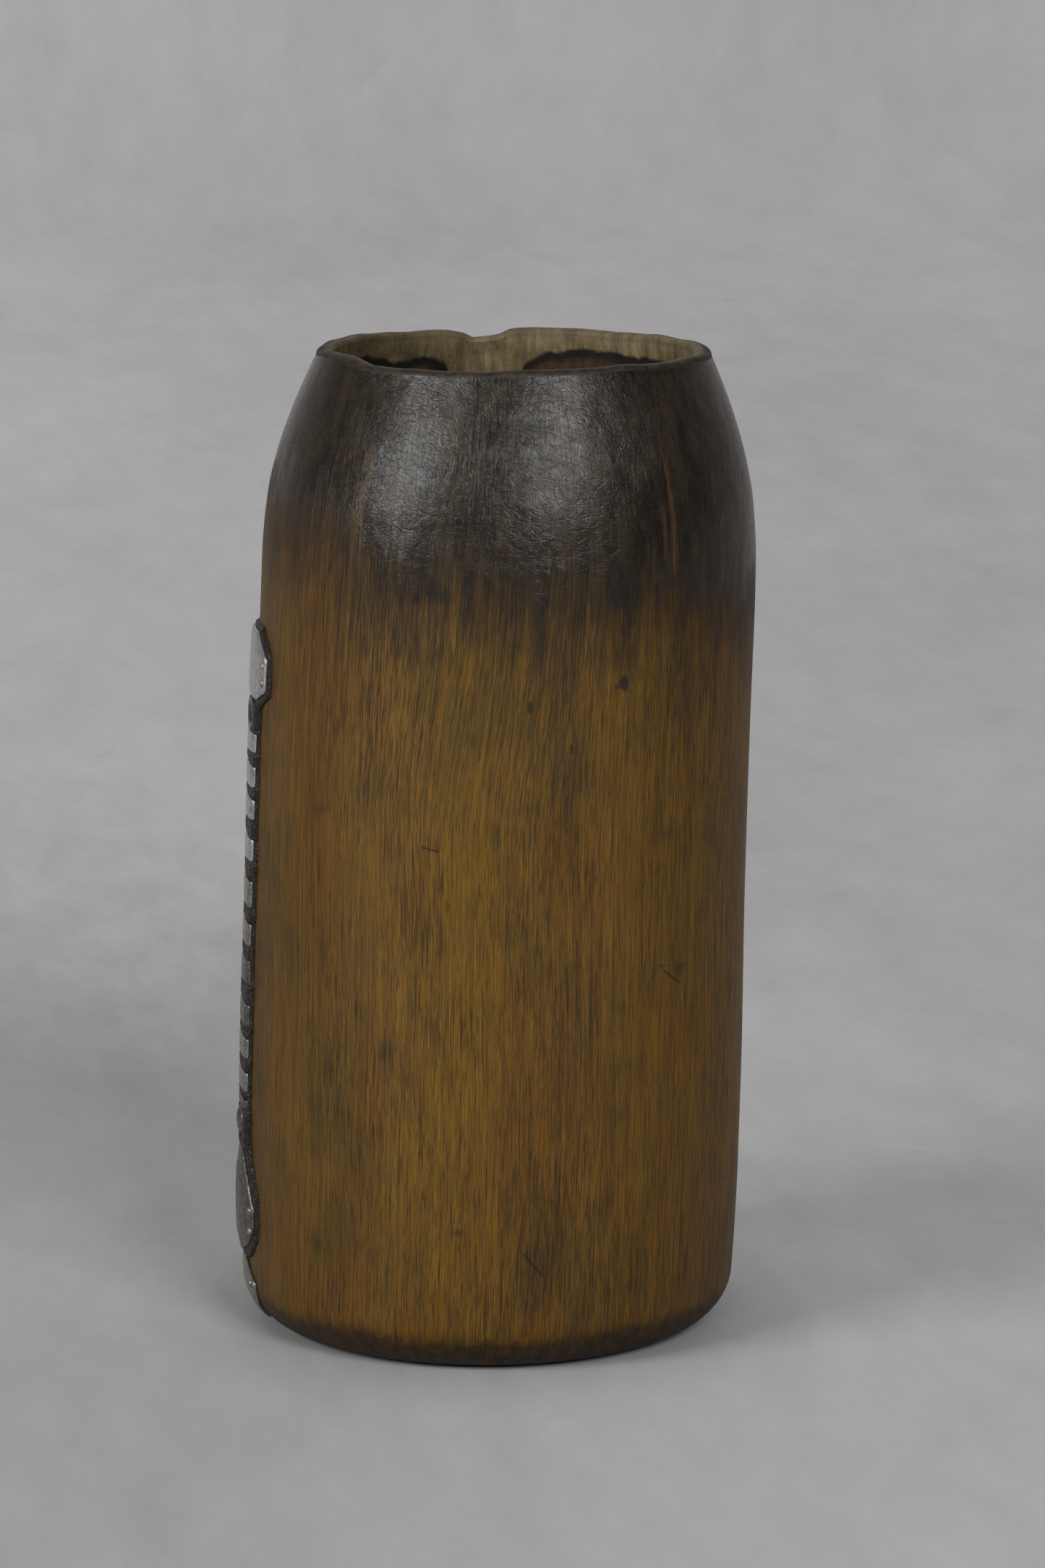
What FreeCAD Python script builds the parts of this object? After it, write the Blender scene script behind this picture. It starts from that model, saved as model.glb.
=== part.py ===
"""Carved wooden drinking vessel with a cleated leather strip and metal plates up one side.

Frame: millimetres, +Z up, origin at the centre of the base on the plane it stands on. The strip runs up the -X side, along the XZ plane.
The vessel is one piece of wood, hollowed from the mouth. Its trunk leans 1.5 degrees towards +X, because the base wasn't cut square to the log.
A worn pouring notch is cut in the rim on the +Y side.
On the -X side a leather strip lies on the wood, with a wide pad at each end. Flat metal cleats cross it, each with a prong at both ends that goes through the
leather into the wall. An oval ring lies above the row of cleats and a domed stud below it, a six-sided plate covers the upper pad, a leaf-shaped plate the
lower one, and a foot plate wraps the round corner of the base. Small brass pins hold the plates.
"""

import FreeCAD
import Part
import Sketcher
import math
import os

from FreeCAD import Placement, Rotation, Vector

os.makedirs("parts", exist_ok=True)
doc = FreeCAD.newDocument("vessel")

# ---------------------------------------------------------------- driving sizes
sheet = doc.addObject("Spreadsheet::Sheet", "Sizes")
SIZES = [
    ("lean_deg", 1.5, "lean of the trunk axis towards +X, degrees"),
    ("base_rad", 60.3, "outer radius near the base"),
    ("belly_rad", 61.0, "outer radius of the belly"),
    ("belly_at", 55.0, "belly, measured along the axis"),
    ("trunk_rad", 60.5, "outer radius below the shoulder"),
    ("shoulder_at", 187.0, "where the shoulder starts"),
    ("shoulder_bend", 115.0, "bend radius of the shoulder"),
    ("lip_rad", 48.3, "outer radius at the rim"),
    ("tall", 240.0, "height to the rim along the axis"),
    ("base_corner", 13.0, "rounding of the base corner"),
    ("floor_at", 14.0, "top of the floor"),
    ("floor_corner", 11.0, "rounding between floor and wall"),
    ("bore_rad", 53.5, "inner radius of the wall"),
    ("neck_at", 180.0, "where the inside starts to narrow"),
    ("neck_bend", 180.0, "bend radius of the inside"),
    ("mouth_rad", 43.1, "inner radius at the rim"),
    ("over", 3.0, "how far the hollowing cut passes the rim"),
    ("lip_out", 1.9, "rounding of the rim outside"),
    ("lip_in", 1.5, "rounding of the rim inside"),
    ("notch_deep", 2.5, "depth of the pouring notch"),
    ("notch_wide", 8.0, "width of its bottom"),
    ("notch_flare", 3.0, "widening of each side up to above the rim"),
    ("notch_end", 8.4, "+X end of its bottom"),
    ("leather_thk", 1.0, "leather thickness"),
    ("metal_thk", 0.6, "thickness of the plates and cleats"),
    ("strip_half", 8.6, "half the width of the leather strip"),
    ("pad_half", 15.6, "half the width of its pads"),
    ("plate_half", 14.4, "half the width of the plates"),
    ("cleat_half", 7.9, "half the length of a cleat"),
    ("prong_len", 5.4, "length of a prong from the outer face of the cleat"),
    ("prong_thk", 0.6, "thickness of a prong"),
    ("prong_wide", 1.8, "width of a prong"),
    ("ring_at", 152.2, "middle height of the oval ring"),
    ("ring_half", 6.6, "half its width"),
    ("ring_tall", 3.7, "half its height"),
    ("ring_band", 1.5, "width of its band"),
    ("stud_at", 51.0, "middle height of the domed stud"),
    ("stud_rad", 3.5, "its head radius"),
    ("stud_rise", 1.5, "its head height"),
    ("shank_rad", 0.9, "its shank radius"),
    ("shank_len", 5.5, "its shank length"),
    ("pin_rad", 0.9, "brass pin head radius"),
    ("pin_rise", 0.45, "its head height"),
    ("pin_shank", 0.4, "its shank radius"),
    ("pin_len", 5.0, "its shank length"),
    ("slack", 0.1, "room around a prong or shank"),
]
# middle height and height of each hand-cut cleat, from the top down
CLEATS = [
    (145.6, 4.6),
    (137.5, 5.1),
    (129.4, 4.9),
    (119.3, 5.4),
    (108.5, 6.5),
    (98.5, 5.5),
    (89.0, 5.6),
    (78.3, 5.3),
    (70.1, 4.9),
    (61.6, 4.7),
    (56.2, 2.2),
]
for i, (z, tall) in enumerate(CLEATS):
    SIZES.append(("cleat_at_%02d" % (i + 1), z, "middle height of this cleat"))
    SIZES.append(("cleat_tall_%02d" % (i + 1), tall, "its height"))
for row, (alias, value, note) in enumerate(SIZES, 1):
    sheet.set("A%d" % row, note)
    sheet.set("B%d" % row, repr(float(value)))
    sheet.setAlias("B%d" % row, alias)
doc.recompute()


def size(alias):
    return float(sheet.get(alias))


def origin_item(body, role):
    return [f for f in body.Origin.OriginFeatures if f.Role == role][0]


def value_of(text):
    """The value of a sum of numbers and sheet words such as 'Sizes.tall + 3'."""
    total, sign = 0.0, 1.0
    for word in text.split():
        if word in ("+", "-"):
            sign = 1.0 if word == "+" else -1.0
        else:
            total += sign * (size(word[6:]) if word.startswith("Sizes.") else float(word))
            sign = 1.0
    return total


def draw(sk, points, arcs=()):
    """A closed outline through points, (x, y) expressions. arcs maps a segment's number to (radius expression, +1 or -1 for the side its centre is on)."""
    arcs = dict(arcs)
    xy = [Vector(value_of(a), value_of(b), 0) for a, b in points]
    n = len(xy)
    for i in range(n):
        a, b = xy[i], xy[(i + 1) % n]
        if i in arcs:
            r, side = value_of(arcs[i][0]), arcs[i][1]
            mid = (a + b) * 0.5
            along = b - a
            half = along.Length / 2
            left = Vector(-along.y, along.x, 0).normalize()
            c = mid + left * (side * math.sqrt(r * r - half * half))
            outward = (mid - c).normalize() if (mid - c).Length > 1e-9 else left * -side
            sk.addGeometry(Part.Arc(a, c + outward * r, b), False)
        else:
            sk.addGeometry(Part.LineSegment(a, b), False)
    ends = []
    for i in range(n):
        a, b = xy[i], xy[(i + 1) % n]
        first, last = 1, 2
        g = sk.Geometry[i]
        if i in arcs and (g.StartPoint - a).Length > (g.EndPoint - a).Length:
            first, last = 2, 1
        ends.append((first, last))
    count = 0
    for i in range(n):
        j = (i + 1) % n
        sk.addConstraint(Sketcher.Constraint("Coincident", i, ends[i][1], j, ends[j][0]))
        count += 1
    for i, (tx, ty) in enumerate(points):
        for kind, text, tag in (("DistanceX", tx, "x"), ("DistanceY", ty, "y")):
            v = value_of(text)
            sk.addConstraint(Sketcher.Constraint(kind, -1, 1, i, ends[i][0], v))
            name = "corner%d%s" % (i, tag)
            sk.renameConstraint(count, name)
            if "Sizes." in text:
                sk.setExpression("Constraints." + name, text)
            count += 1
    for i in arcs:
        sk.addConstraint(Sketcher.Constraint("Radius", i, value_of(arcs[i][0])))
        sk.renameConstraint(count, "bend%d" % i)
        sk.setExpression("Constraints.bend%d" % i, arcs[i][0])
        count += 1


def outer_outline(grow=""):
    g = " + " + grow if grow else ""
    return [
        ("0", "- 6"),
        ("Sizes.base_rad" + g, "- 6"),
        ("Sizes.belly_rad" + g, "Sizes.belly_at"),
        ("Sizes.trunk_rad" + g, "Sizes.shoulder_at"),
        ("Sizes.lip_rad" + g, "Sizes.tall - Sizes.lip_out"),
        ("Sizes.lip_rad - Sizes.lip_out" + g, "Sizes.tall"),
        ("0", "Sizes.tall"),
    ]


# ---------------------------------------------------------------- the vessel
body = doc.addObject("PartDesign::Body", "VesselBody")


def tilted_sketch(name):
    """A sketch on the XZ plane turned by the lean, so that its vertical axis is the trunk's axis."""
    sk = body.newObject("Sketcher::SketchObject", name)
    sk.AttachmentSupport = [(origin_item(body, "XZ_Plane"), "")]
    sk.MapMode = "FlatFace"
    sk.AttachmentOffset = Placement(Vector(0, 0, 0), Rotation(Vector(0, 0, 1), -size("lean_deg")))
    sk.setExpression("AttachmentOffset.Rotation.Angle", "Sizes.lean_deg * -1")
    return sk


sk = tilted_sketch("TrunkOutline")
draw(sk, outer_outline(), {3: ("Sizes.shoulder_bend", 1), 4: ("Sizes.lip_out", 1)})
doc.recompute()
trunk = body.newObject("PartDesign::Revolution", "Trunk")
trunk.Profile = sk
trunk.ReferenceAxis = (sk, ["V_Axis"])
trunk.Angle = 360
doc.recompute()

foot = body.newObject("Sketcher::SketchObject", "StandingCut")
foot.AttachmentSupport = [(origin_item(body, "XZ_Plane"), "")]
foot.MapMode = "FlatFace"
draw(foot, [("- 90", "- 20"), ("90", "- 20"), ("90", "0"), ("- 90", "0")])
doc.recompute()
flat = body.newObject("PartDesign::Pocket", "FlatBase")
flat.Profile = foot
flat.Type = 0
flat.Midplane = True
flat.Length = 200
doc.recompute()


def round_edges(feature, name, test, alias):
    names = ["Edge%d" % (i + 1) for i, e in enumerate(feature.Shape.Edges) if test(e)]
    if not names:
        raise RuntimeError(name + ": no edge found")
    f = body.newObject("PartDesign::Fillet", name)
    f.Base = (feature, names)
    f.Radius = size(alias)
    f.setExpression("Radius", "Sizes." + alias)
    doc.recompute()
    return f


def in_base(e):
    b = e.BoundBox
    return abs(b.ZMin) < 0.01 and abs(b.ZMax) < 0.01 and e.Length > 100


corner = round_edges(flat, "BaseCorner", in_base, "base_corner")

sk = tilted_sketch("HollowOutline")
draw(
    sk,
    [
        ("0", "Sizes.floor_at"),
        ("Sizes.bore_rad - Sizes.floor_corner", "Sizes.floor_at"),
        ("Sizes.bore_rad", "Sizes.floor_at + Sizes.floor_corner"),
        ("Sizes.bore_rad", "Sizes.neck_at"),
        ("Sizes.mouth_rad", "Sizes.tall - Sizes.lip_in"),
        ("Sizes.mouth_rad + Sizes.lip_in", "Sizes.tall"),
        ("Sizes.mouth_rad + Sizes.lip_in", "Sizes.tall + Sizes.over"),
        ("0", "Sizes.tall + Sizes.over"),
    ],
    {1: ("Sizes.floor_corner", 1), 3: ("Sizes.neck_bend", 1), 4: ("Sizes.lip_in", -1)},
)
doc.recompute()
hollow = body.newObject("PartDesign::Groove", "Hollow")
hollow.Profile = sk
hollow.ReferenceAxis = (sk, ["V_Axis"])
hollow.Angle = 360
doc.recompute()
if not 0.15 * corner.Shape.Volume < hollow.Shape.Volume < 0.5 * corner.Shape.Volume:
    raise RuntimeError("hollow: volume %.0f of %.0f" % (hollow.Shape.Volume, corner.Shape.Volume))


# the pouring notch, cut through the wall on the +Y side only
nk = body.newObject("Sketcher::SketchObject", "NotchOutline")
nk.AttachmentSupport = [(origin_item(body, "XZ_Plane"), "")]
nk.MapMode = "FlatFace"
draw(
    nk,
    [
        ("Sizes.notch_end - Sizes.notch_wide", "Sizes.tall - Sizes.notch_deep"),
        ("Sizes.notch_end", "Sizes.tall - Sizes.notch_deep"),
        ("Sizes.notch_end + Sizes.notch_flare", "Sizes.tall + 4"),
        ("Sizes.notch_end - Sizes.notch_wide - Sizes.notch_flare - Sizes.notch_flare", "Sizes.tall + 4"),
    ],
)
doc.recompute()
notch = body.newObject("PartDesign::Pocket", "Notch")
notch.Profile = nk
notch.Type = 0
notch.Length = 80
doc.recompute()
if not 40 < hollow.Shape.Volume - notch.Shape.Volume < 400:
    raise RuntimeError("notch: took %.1f" % (hollow.Shape.Volume - notch.Shape.Volume))
if notch.Shape.Solids[0].isInside(Vector(size("notch_end") - size("notch_wide") / 2, 45.4, size("tall") - 2.0), 1e-6, True):
    raise RuntimeError("the notch isn't on the +Y side")


# ---------------------------------------------------------------- skins that follow the wood
def skin(name, grow):
    """The trunk's outside grown by a sum of sheet words, as a solid, with the base flat and corner grown alike."""
    sk = doc.addObject("Sketcher::SketchObject", name + "Outline")
    draw(sk, outer_outline(grow), {3: ("Sizes.shoulder_bend" + (" + " + grow if grow else ""), 1)})
    sk.Placement = Placement(Vector(0, 0, 0), Rotation(Vector(0, 1, 0), size("lean_deg")) * Rotation(Vector(1, 0, 0), 90))
    doc.recompute()
    r = doc.addObject("Part::Revolution", name + "Turned")
    r.Source = sk
    r.Axis = sk.Placement.Rotation.multVec(Vector(0, 1, 0))
    r.Base = Vector(0, 0, 0)
    r.Angle = 360
    r.Solid = True
    box = doc.addObject("Part::Box", name + "Below")
    box.Length = box.Width = 240
    box.Height = 40
    box.Placement = Placement(Vector(-120, -120, -40), Rotation())
    if grow:
        box.setExpression("Placement.Base.z", "-40 - (%s)" % grow)
    c = doc.addObject("Part::Cut", name + "Cut")
    c.Base = r
    c.Tool = box
    doc.recompute()
    low = -value_of(grow) if grow else 0.0
    rad = size("base_corner") - low
    f = doc.addObject("Part::Fillet", name)
    f.Base = c
    ids = [i + 1 for i, e in enumerate(c.Shape.Edges) if abs(e.BoundBox.ZMin - low) < 0.01 and abs(e.BoundBox.ZMax - low) < 0.01 and e.Length > 100]
    f.Edges = [(i, rad, rad) for i in ids]
    doc.recompute()
    if f.Shape.isNull() or not f.Shape.isValid():
        raise RuntimeError(name + ": corner failed")
    return f


wood_skin = skin("WoodSkin", "")
leather_skin = skin("LeatherSkin", "Sizes.leather_thk")
metal_skin = skin("MetalSkin", "Sizes.leather_thk + Sizes.metal_thk")
foot_skin = skin("FootSkin", "Sizes.metal_thk")


def pair(kind, name, base, tool, label=None):
    c = doc.addObject(kind, name)
    if kind == "Part::Cut" or kind == "Part::Common":
        c.Base = base
        c.Tool = tool
    if label:
        c.Label = label
    return c


leather_shell = pair("Part::Cut", "LeatherShell", leather_skin, wood_skin)
metal_shell = pair("Part::Cut", "MetalShell", metal_skin, leather_skin)
foot_shell = pair("Part::Cut", "FootShell", foot_skin, wood_skin)
doc.recompute()


def prism(name, points, arcs=(), far=-95.0, near=-30.0):
    """A block along X over the -X side whose outline in Y and Z is points."""
    sk = doc.addObject("Sketcher::SketchObject", name + "Outline")
    draw(sk, points, arcs)
    sk.Placement = Placement(Vector(far, 0, 0), Rotation(Vector(1, 1, 1), 120))
    e = doc.addObject("Part::Extrusion", name)
    e.Base = sk
    e.DirMode = "Custom"
    e.Dir = Vector(1, 0, 0)
    e.LengthFwd = near - far
    e.Solid = True
    return e


def both(points):
    """Points up the +y side, then their mirror images down the -y side."""
    mirrored = []
    for y, z in reversed(points):
        mirrored.append(("- " + y if not y.startswith("- ") else y[2:], z))
    return list(points) + mirrored


strip_prism = prism(
    "StripBlock",
    both(
        [
            ("Sizes.strip_half", "17.4"),
            ("Sizes.pad_half", "23.5"),
            ("Sizes.pad_half", "34.5"),
            ("Sizes.strip_half", "46.0"),
            ("Sizes.strip_half", "154.5"),
            ("Sizes.pad_half", "158.0"),
            ("Sizes.pad_half", "168.6"),
            ("7.2", "174.2"),
        ]
    ),
)
top_prism = prism(
    "TopPlateBlock",
    both([("7.0", "156.8"), ("Sizes.plate_half", "159.4"), ("Sizes.plate_half", "167.6"), ("6.2", "173.0")]),
)
low_prism = prism(
    "LowPlateBlock",
    both([("2.4", "18.6"), ("Sizes.plate_half", "24.2"), ("Sizes.plate_half", "32.6"), ("3.2", "44.4")]),
)
foot_prism = prism("FootBlock", both([("7.6", "2.2"), ("11.0", "6.5"), ("12.4", "12.5"), ("4.0", "16.6")]))
doc.recompute()
leather_blank = pair("Part::Common", "LeatherBlank", leather_shell, strip_prism)
top_blank = pair("Part::Common", "TopPlateBlank", metal_shell, top_prism)
low_blank = pair("Part::Common", "LowPlateBlank", metal_shell, low_prism)
foot_blank = pair("Part::Common", "FootPlateBlank", foot_shell, foot_prism)
doc.recompute()


def on_wood(y, z):
    """The point of the wood at (y, z) on the -X side, the way out of it and the way up along it."""

    def x_at(yy, zz):
        b = wood_skin.Shape.slice(Vector(0, 0, 1), zz)[0].BoundBox
        c, r = (b.XMin + b.XMax) / 2, (b.XMax - b.XMin) / 2
        return c - math.sqrt(r * r - yy * yy)

    p = Vector(x_at(y, z), y, z)
    up = (Vector(x_at(y, z + 0.5), y, z + 0.5) - Vector(x_at(y, z - 0.5), y, z - 0.5)).normalize()
    side = (Vector(x_at(y + 0.5, z), y + 0.5, z) - Vector(x_at(y - 0.5, z), y - 0.5, z)).normalize()
    out = side.cross(up).normalize()
    if out.x > 0:
        out = out * -1
    return p, out, up


def frame_of(out, up):
    """Local X out of the wood, local Z up along it."""
    y = up.cross(out).normalize()
    z = out.cross(y).normalize()
    m = FreeCAD.Matrix(out.x, y.x, z.x, 0, out.y, y.y, z.y, 0, out.z, y.z, z.z, 0, 0, 0, 0, 1)
    return Placement(m).Rotation, y, z


slots = []


def prong(name, y, z):
    """A prong through the leather into the wood, and the slightly larger slot it sits in."""
    p, out, up = on_wood(y, z)
    rot, across, along = frame_of(out, up)
    outer = size("leather_thk") + 0.5 * size("metal_thk")
    made = []
    for tag, g in (("", 0.0), ("Slot", size("slack"))):
        b = doc.addObject("Part::Box", name + tag)
        extra = " + 2 * Sizes.slack" if g else ""
        b.setExpression("Length", "Sizes.prong_len + " + ("Sizes.slack" if g else "0"))
        b.setExpression("Width", "Sizes.prong_thk" + extra)
        b.setExpression("Height", "Sizes.prong_wide" + extra)
        start = p + out * (outer - size("prong_len") - g) - across * (size("prong_thk") / 2 + g) - along * (size("prong_wide") / 2 + g)
        b.Placement = Placement(start, rot)
        made.append(b)
    slots.append(made[1])
    return made[0]


def fused(name, shapes, label):
    f = doc.addObject("Part::MultiFuse", name)
    f.Shapes = shapes
    f.Label = label
    return f


inset = size("cleat_half") - size("prong_thk") / 2 - 0.25
metal_pieces = []
for i, (z, tall) in enumerate(CLEATS):
    k = "%02d" % (i + 1)
    bar = doc.addObject("Part::Box", "CleatBlock" + k)
    bar.Length = 60
    bar.setExpression("Width", "Sizes.cleat_half * 2")
    bar.setExpression("Height", "Sizes.cleat_tall_" + k)
    bar.Placement = Placement(Vector(-95, -size("cleat_half"), z - tall / 2), Rotation())
    bar.setExpression("Placement.Base.y", "Sizes.cleat_half * -1")
    bar.setExpression("Placement.Base.z", "Sizes.cleat_at_%s - Sizes.cleat_tall_%s / 2" % (k, k))
    face = pair("Part::Common", "CleatFace" + k, metal_shell, bar)
    doc.recompute()
    prongs = [prong("Prong%s%s" % (k, tag), s * inset, z) for s, tag in ((1, "P"), (-1, "N"))]
    metal_pieces.append(fused("Cleat" + k, [face] + prongs, "cleat_" + k))
doc.recompute()

# the oval ring above the cleats
ring_parts = []
for tag, shrink in (("Out", ""), ("Hole", " - Sizes.ring_band")):
    e = doc.addObject("Part::Ellipse", "Ring" + tag)
    e.MajorRadius = value_of("Sizes.ring_half" + shrink)
    e.MinorRadius = value_of("Sizes.ring_tall" + shrink)
    e.setExpression("MajorRadius", "Sizes.ring_half" + shrink)
    e.setExpression("MinorRadius", "Sizes.ring_tall" + shrink)
    e.Placement = Placement(Vector(-95, 0, size("ring_at")), Rotation(Vector(1, 1, 1), 120))
    e.setExpression("Placement.Base.z", "Sizes.ring_at")
    x = doc.addObject("Part::Extrusion", "RingBlock" + tag)
    x.Base = e
    x.DirMode = "Custom"
    x.Dir = Vector(1, 0, 0)
    x.LengthFwd = 65
    x.Solid = True
    ring_parts.append(x)
ring_tube = pair("Part::Cut", "RingTube", ring_parts[0], ring_parts[1])
ring_face = pair("Part::Common", "RingFace", metal_shell, ring_tube)
doc.recompute()
ring_y = size("ring_half") - size("ring_band") / 2
ring = fused("OvalRing", [ring_face, prong("RingProngP", ring_y, size("ring_at")), prong("RingProngN", -ring_y, size("ring_at"))], "oval_ring")


def headed(name, y, z, off, head, rise, shank, length):
    """A domed head on a shank, and the hole for the shank. off is how far the head's flat side stands off the wood."""
    p, out, up = on_wood(y, z)
    rot = Rotation(Vector(0, 0, 1), out)
    a, b = size(head), size(rise)
    ball = doc.addObject("Part::Sphere", name + "Ball")
    ball.Radius = (a * a + b * b) / (2 * b)
    ball.setExpression("Radius", "(Sizes.%s ^ 2 + Sizes.%s ^ 2) / (2 * Sizes.%s)" % (head, rise, rise))
    ball.Placement = Placement(p + out * (off + b - (a * a + b * b) / (2 * b)), rot)
    puck = doc.addObject("Part::Cylinder", name + "Puck")
    puck.setExpression("Radius", "Sizes.%s + 1" % head)
    puck.setExpression("Height", "Sizes.%s + 1" % rise)
    puck.Placement = Placement(p + out * off, rot)
    dome = pair("Part::Common", name + "Dome", ball, puck)
    made = []
    for tag, g in (("Shank", 0.0), ("Hole", size("slack"))):
        c = doc.addObject("Part::Cylinder", name + tag)
        extra = " + Sizes.slack" if g else ""
        c.setExpression("Radius", "Sizes." + shank + extra)
        c.setExpression("Height", "Sizes." + length + extra)
        c.Placement = Placement(p + out * (off + 0.15 - size(length) - g), rot)
        made.append(c)
    doc.recompute()
    whole = fused(name, [dome, made[0]], name)
    return whole, made[1]


stud, stud_hole = headed("LowStud", 0.0, size("stud_at"), size("leather_thk"), "stud_rad", "stud_rise", "shank_rad", "shank_len")
stud.Label = "low_stud"
PINS = {
    "top_plate_pins": [(12.7, 165.8), (12.7, 161.6), (-12.7, 165.8), (-12.7, 161.6)],
    "low_plate_pins": [(12.6, 31.0), (12.6, 25.8), (-12.6, 31.0), (-12.6, 25.8)],
    "foot_plate_pins": [(9.4, 11.6), (-9.4, 11.6)],
}
groups, holes = {}, {}
for label, places in PINS.items():
    over = size("metal_thk") + (0.0 if label.startswith("foot") else size("leather_thk"))
    made = []
    for j, (y, z) in enumerate(places):
        w, hole = headed("%s%d" % (label.replace("_", "").capitalize(), j + 1), y, z, over, "pin_rad", "pin_rise", "pin_shank", "pin_len")
        made.append(w)
        holes.setdefault(label, []).append(hole)
    g = doc.addObject("Part::Compound", label.replace("_", "").capitalize())
    g.Links = made
    g.Label = label
    groups[label] = g
doc.recompute()


def let_in(name, label, base, tools):
    """base with slots and holes cut for the prongs and shanks."""
    t = doc.addObject("Part::Compound", name + "Cuts")
    t.Links = tools
    c = pair("Part::Cut", name, base, t, label)
    return c


pads = holes["top_plate_pins"] + holes["low_plate_pins"]
leather = let_in("LeatherStrip", "leather_strip", leather_blank, slots + [stud_hole] + pads)
top_plate = let_in("TopPlate", "top_plate", top_blank, holes["top_plate_pins"])
low_plate = let_in("LowPlate", "low_plate", low_blank, holes["low_plate_pins"])
foot_plate = let_in("FootPlate", "foot_plate", foot_blank, holes["foot_plate_pins"])
wood = let_in("Vessel", "vessel", body, slots + [stud_hole] + pads + holes["foot_plate_pins"])
doc.recompute()

# ---------------------------------------------------------------- check and write
bad = [o.Name for o in doc.Objects if "Invalid" in o.State or "Error" in o.State]
if bad:
    raise RuntimeError("failed objects: %s" % bad)
pieces = [wood, leather, top_plate, ring] + metal_pieces + [stud, low_plate, foot_plate] + list(groups.values())
for o in pieces:
    s = o.Shape
    if s.isNull() or not s.isValid():
        raise RuntimeError("%s: null or invalid" % o.Label)
    n = len(s.Solids)
    b = s.BoundBox
    print(
        "%-16s solids %d volume %9.1f  x %.1f..%.1f y %.1f..%.1f z %.1f..%.1f"
        % (o.Label, n, s.Volume, b.XMin, b.XMax, b.YMin, b.YMax, b.ZMin, b.ZMax)
    )
    if n != (len(PINS[o.Label]) if o.Label in PINS else 1):
        raise RuntimeError("%s has %d solids" % (o.Label, n))
for o in pieces:
    o.Shape.exportStep("parts/%s.step" % o.Label)
print("wrote", len(pieces), "files")
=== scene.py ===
import math

import bpy
import numpy as np
from mathutils import Matrix, Vector


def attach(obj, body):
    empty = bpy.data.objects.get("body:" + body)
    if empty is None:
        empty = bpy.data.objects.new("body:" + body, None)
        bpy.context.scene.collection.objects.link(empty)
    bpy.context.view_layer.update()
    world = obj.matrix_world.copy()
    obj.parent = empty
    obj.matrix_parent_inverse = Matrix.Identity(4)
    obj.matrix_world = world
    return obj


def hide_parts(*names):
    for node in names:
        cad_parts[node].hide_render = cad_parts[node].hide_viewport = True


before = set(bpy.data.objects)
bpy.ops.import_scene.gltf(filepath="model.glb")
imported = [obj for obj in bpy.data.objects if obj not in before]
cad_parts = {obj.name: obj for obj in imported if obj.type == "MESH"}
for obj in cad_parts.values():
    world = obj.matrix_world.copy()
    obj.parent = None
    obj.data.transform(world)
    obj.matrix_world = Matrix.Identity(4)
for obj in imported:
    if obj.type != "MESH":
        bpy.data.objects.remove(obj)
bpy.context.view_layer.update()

MM = 0.001
scene = bpy.context.scene

# ================================================================ shape of the wood (millimetres, row frame)
LEAN = math.radians(1.5)
CORNER = 13.0
TALL = 240.0


def smooth(e0, e1, x):
    t = np.clip((np.asarray(x, float) - e0) / (e1 - e0), 0, 1)
    return t * t * (3 - 2 * t)


def monotone(xs, ys):
    """A smooth curve through points that doesn't overshoot them."""
    xs, ys = np.array(xs, float), np.array(ys, float)
    h = np.diff(xs)
    d = np.diff(ys) / h
    m = np.zeros(len(xs))
    m[0], m[-1] = d[0], d[-1]
    for i in range(1, len(xs) - 1):
        if d[i - 1] * d[i] > 0:
            w1, w2 = 2 * h[i] + h[i - 1], h[i] + 2 * h[i - 1]
            m[i] = (w1 + w2) / (w1 / d[i - 1] + w2 / d[i])

    def f(x):
        x = np.clip(np.asarray(x, float), xs[0], xs[-1])
        i = np.clip(np.searchsorted(xs, x, side="right") - 1, 0, len(xs) - 2)
        t = (x - xs[i]) / h[i]
        return (
            (2 * t**3 - 3 * t**2 + 1) * ys[i]
            + (t**3 - 2 * t**2 + t) * h[i] * m[i]
            + (-2 * t**3 + 3 * t**2) * ys[i + 1]
            + (t**3 - t**2) * h[i] * m[i + 1]
        )

    return f


def ring_noise(theta, s, turns, cell, seed, stretch=0.0):
    """Smooth noise from -1 to 1 on the trunk: turns cells round it and one per cell mm up it."""
    rng = np.random.default_rng(seed)
    rows = int(320 / cell) + 4
    grid = rng.uniform(-1, 1, (rows, turns))
    u = (theta / (2 * math.pi) + stretch * s / 360.0) % 1.0 * turns
    v = (s + 20.0) / cell
    i, j = np.floor(v).astype(int), np.floor(u).astype(int)
    fv, fu = v - i, u - j
    fv, fu = fv * fv * (3 - 2 * fv), fu * fu * (3 - 2 * fu)
    i = np.clip(i, 0, rows - 2)
    a, b = grid[i, j % turns], grid[i, (j + 1) % turns]
    c, d = grid[i + 1, j % turns], grid[i + 1, (j + 1) % turns]
    return (a * (1 - fu) + b * fu) * (1 - fv) + (c * (1 - fu) + d * fu) * fv


# outer radius up the axis, from the top of the base corner to just under the rim
WALL = monotone(
    [13, 22, 40, 60, 90, 110, 150, 175, 190, 205, 215, 225, 232, 238.4],
    [60.15, 60.5, 60.9, 61.0, 60.75, 60.55, 60.55, 60.55, 60.35, 59.15, 57.1, 53.9, 51.1, 48.3],
)
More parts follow.
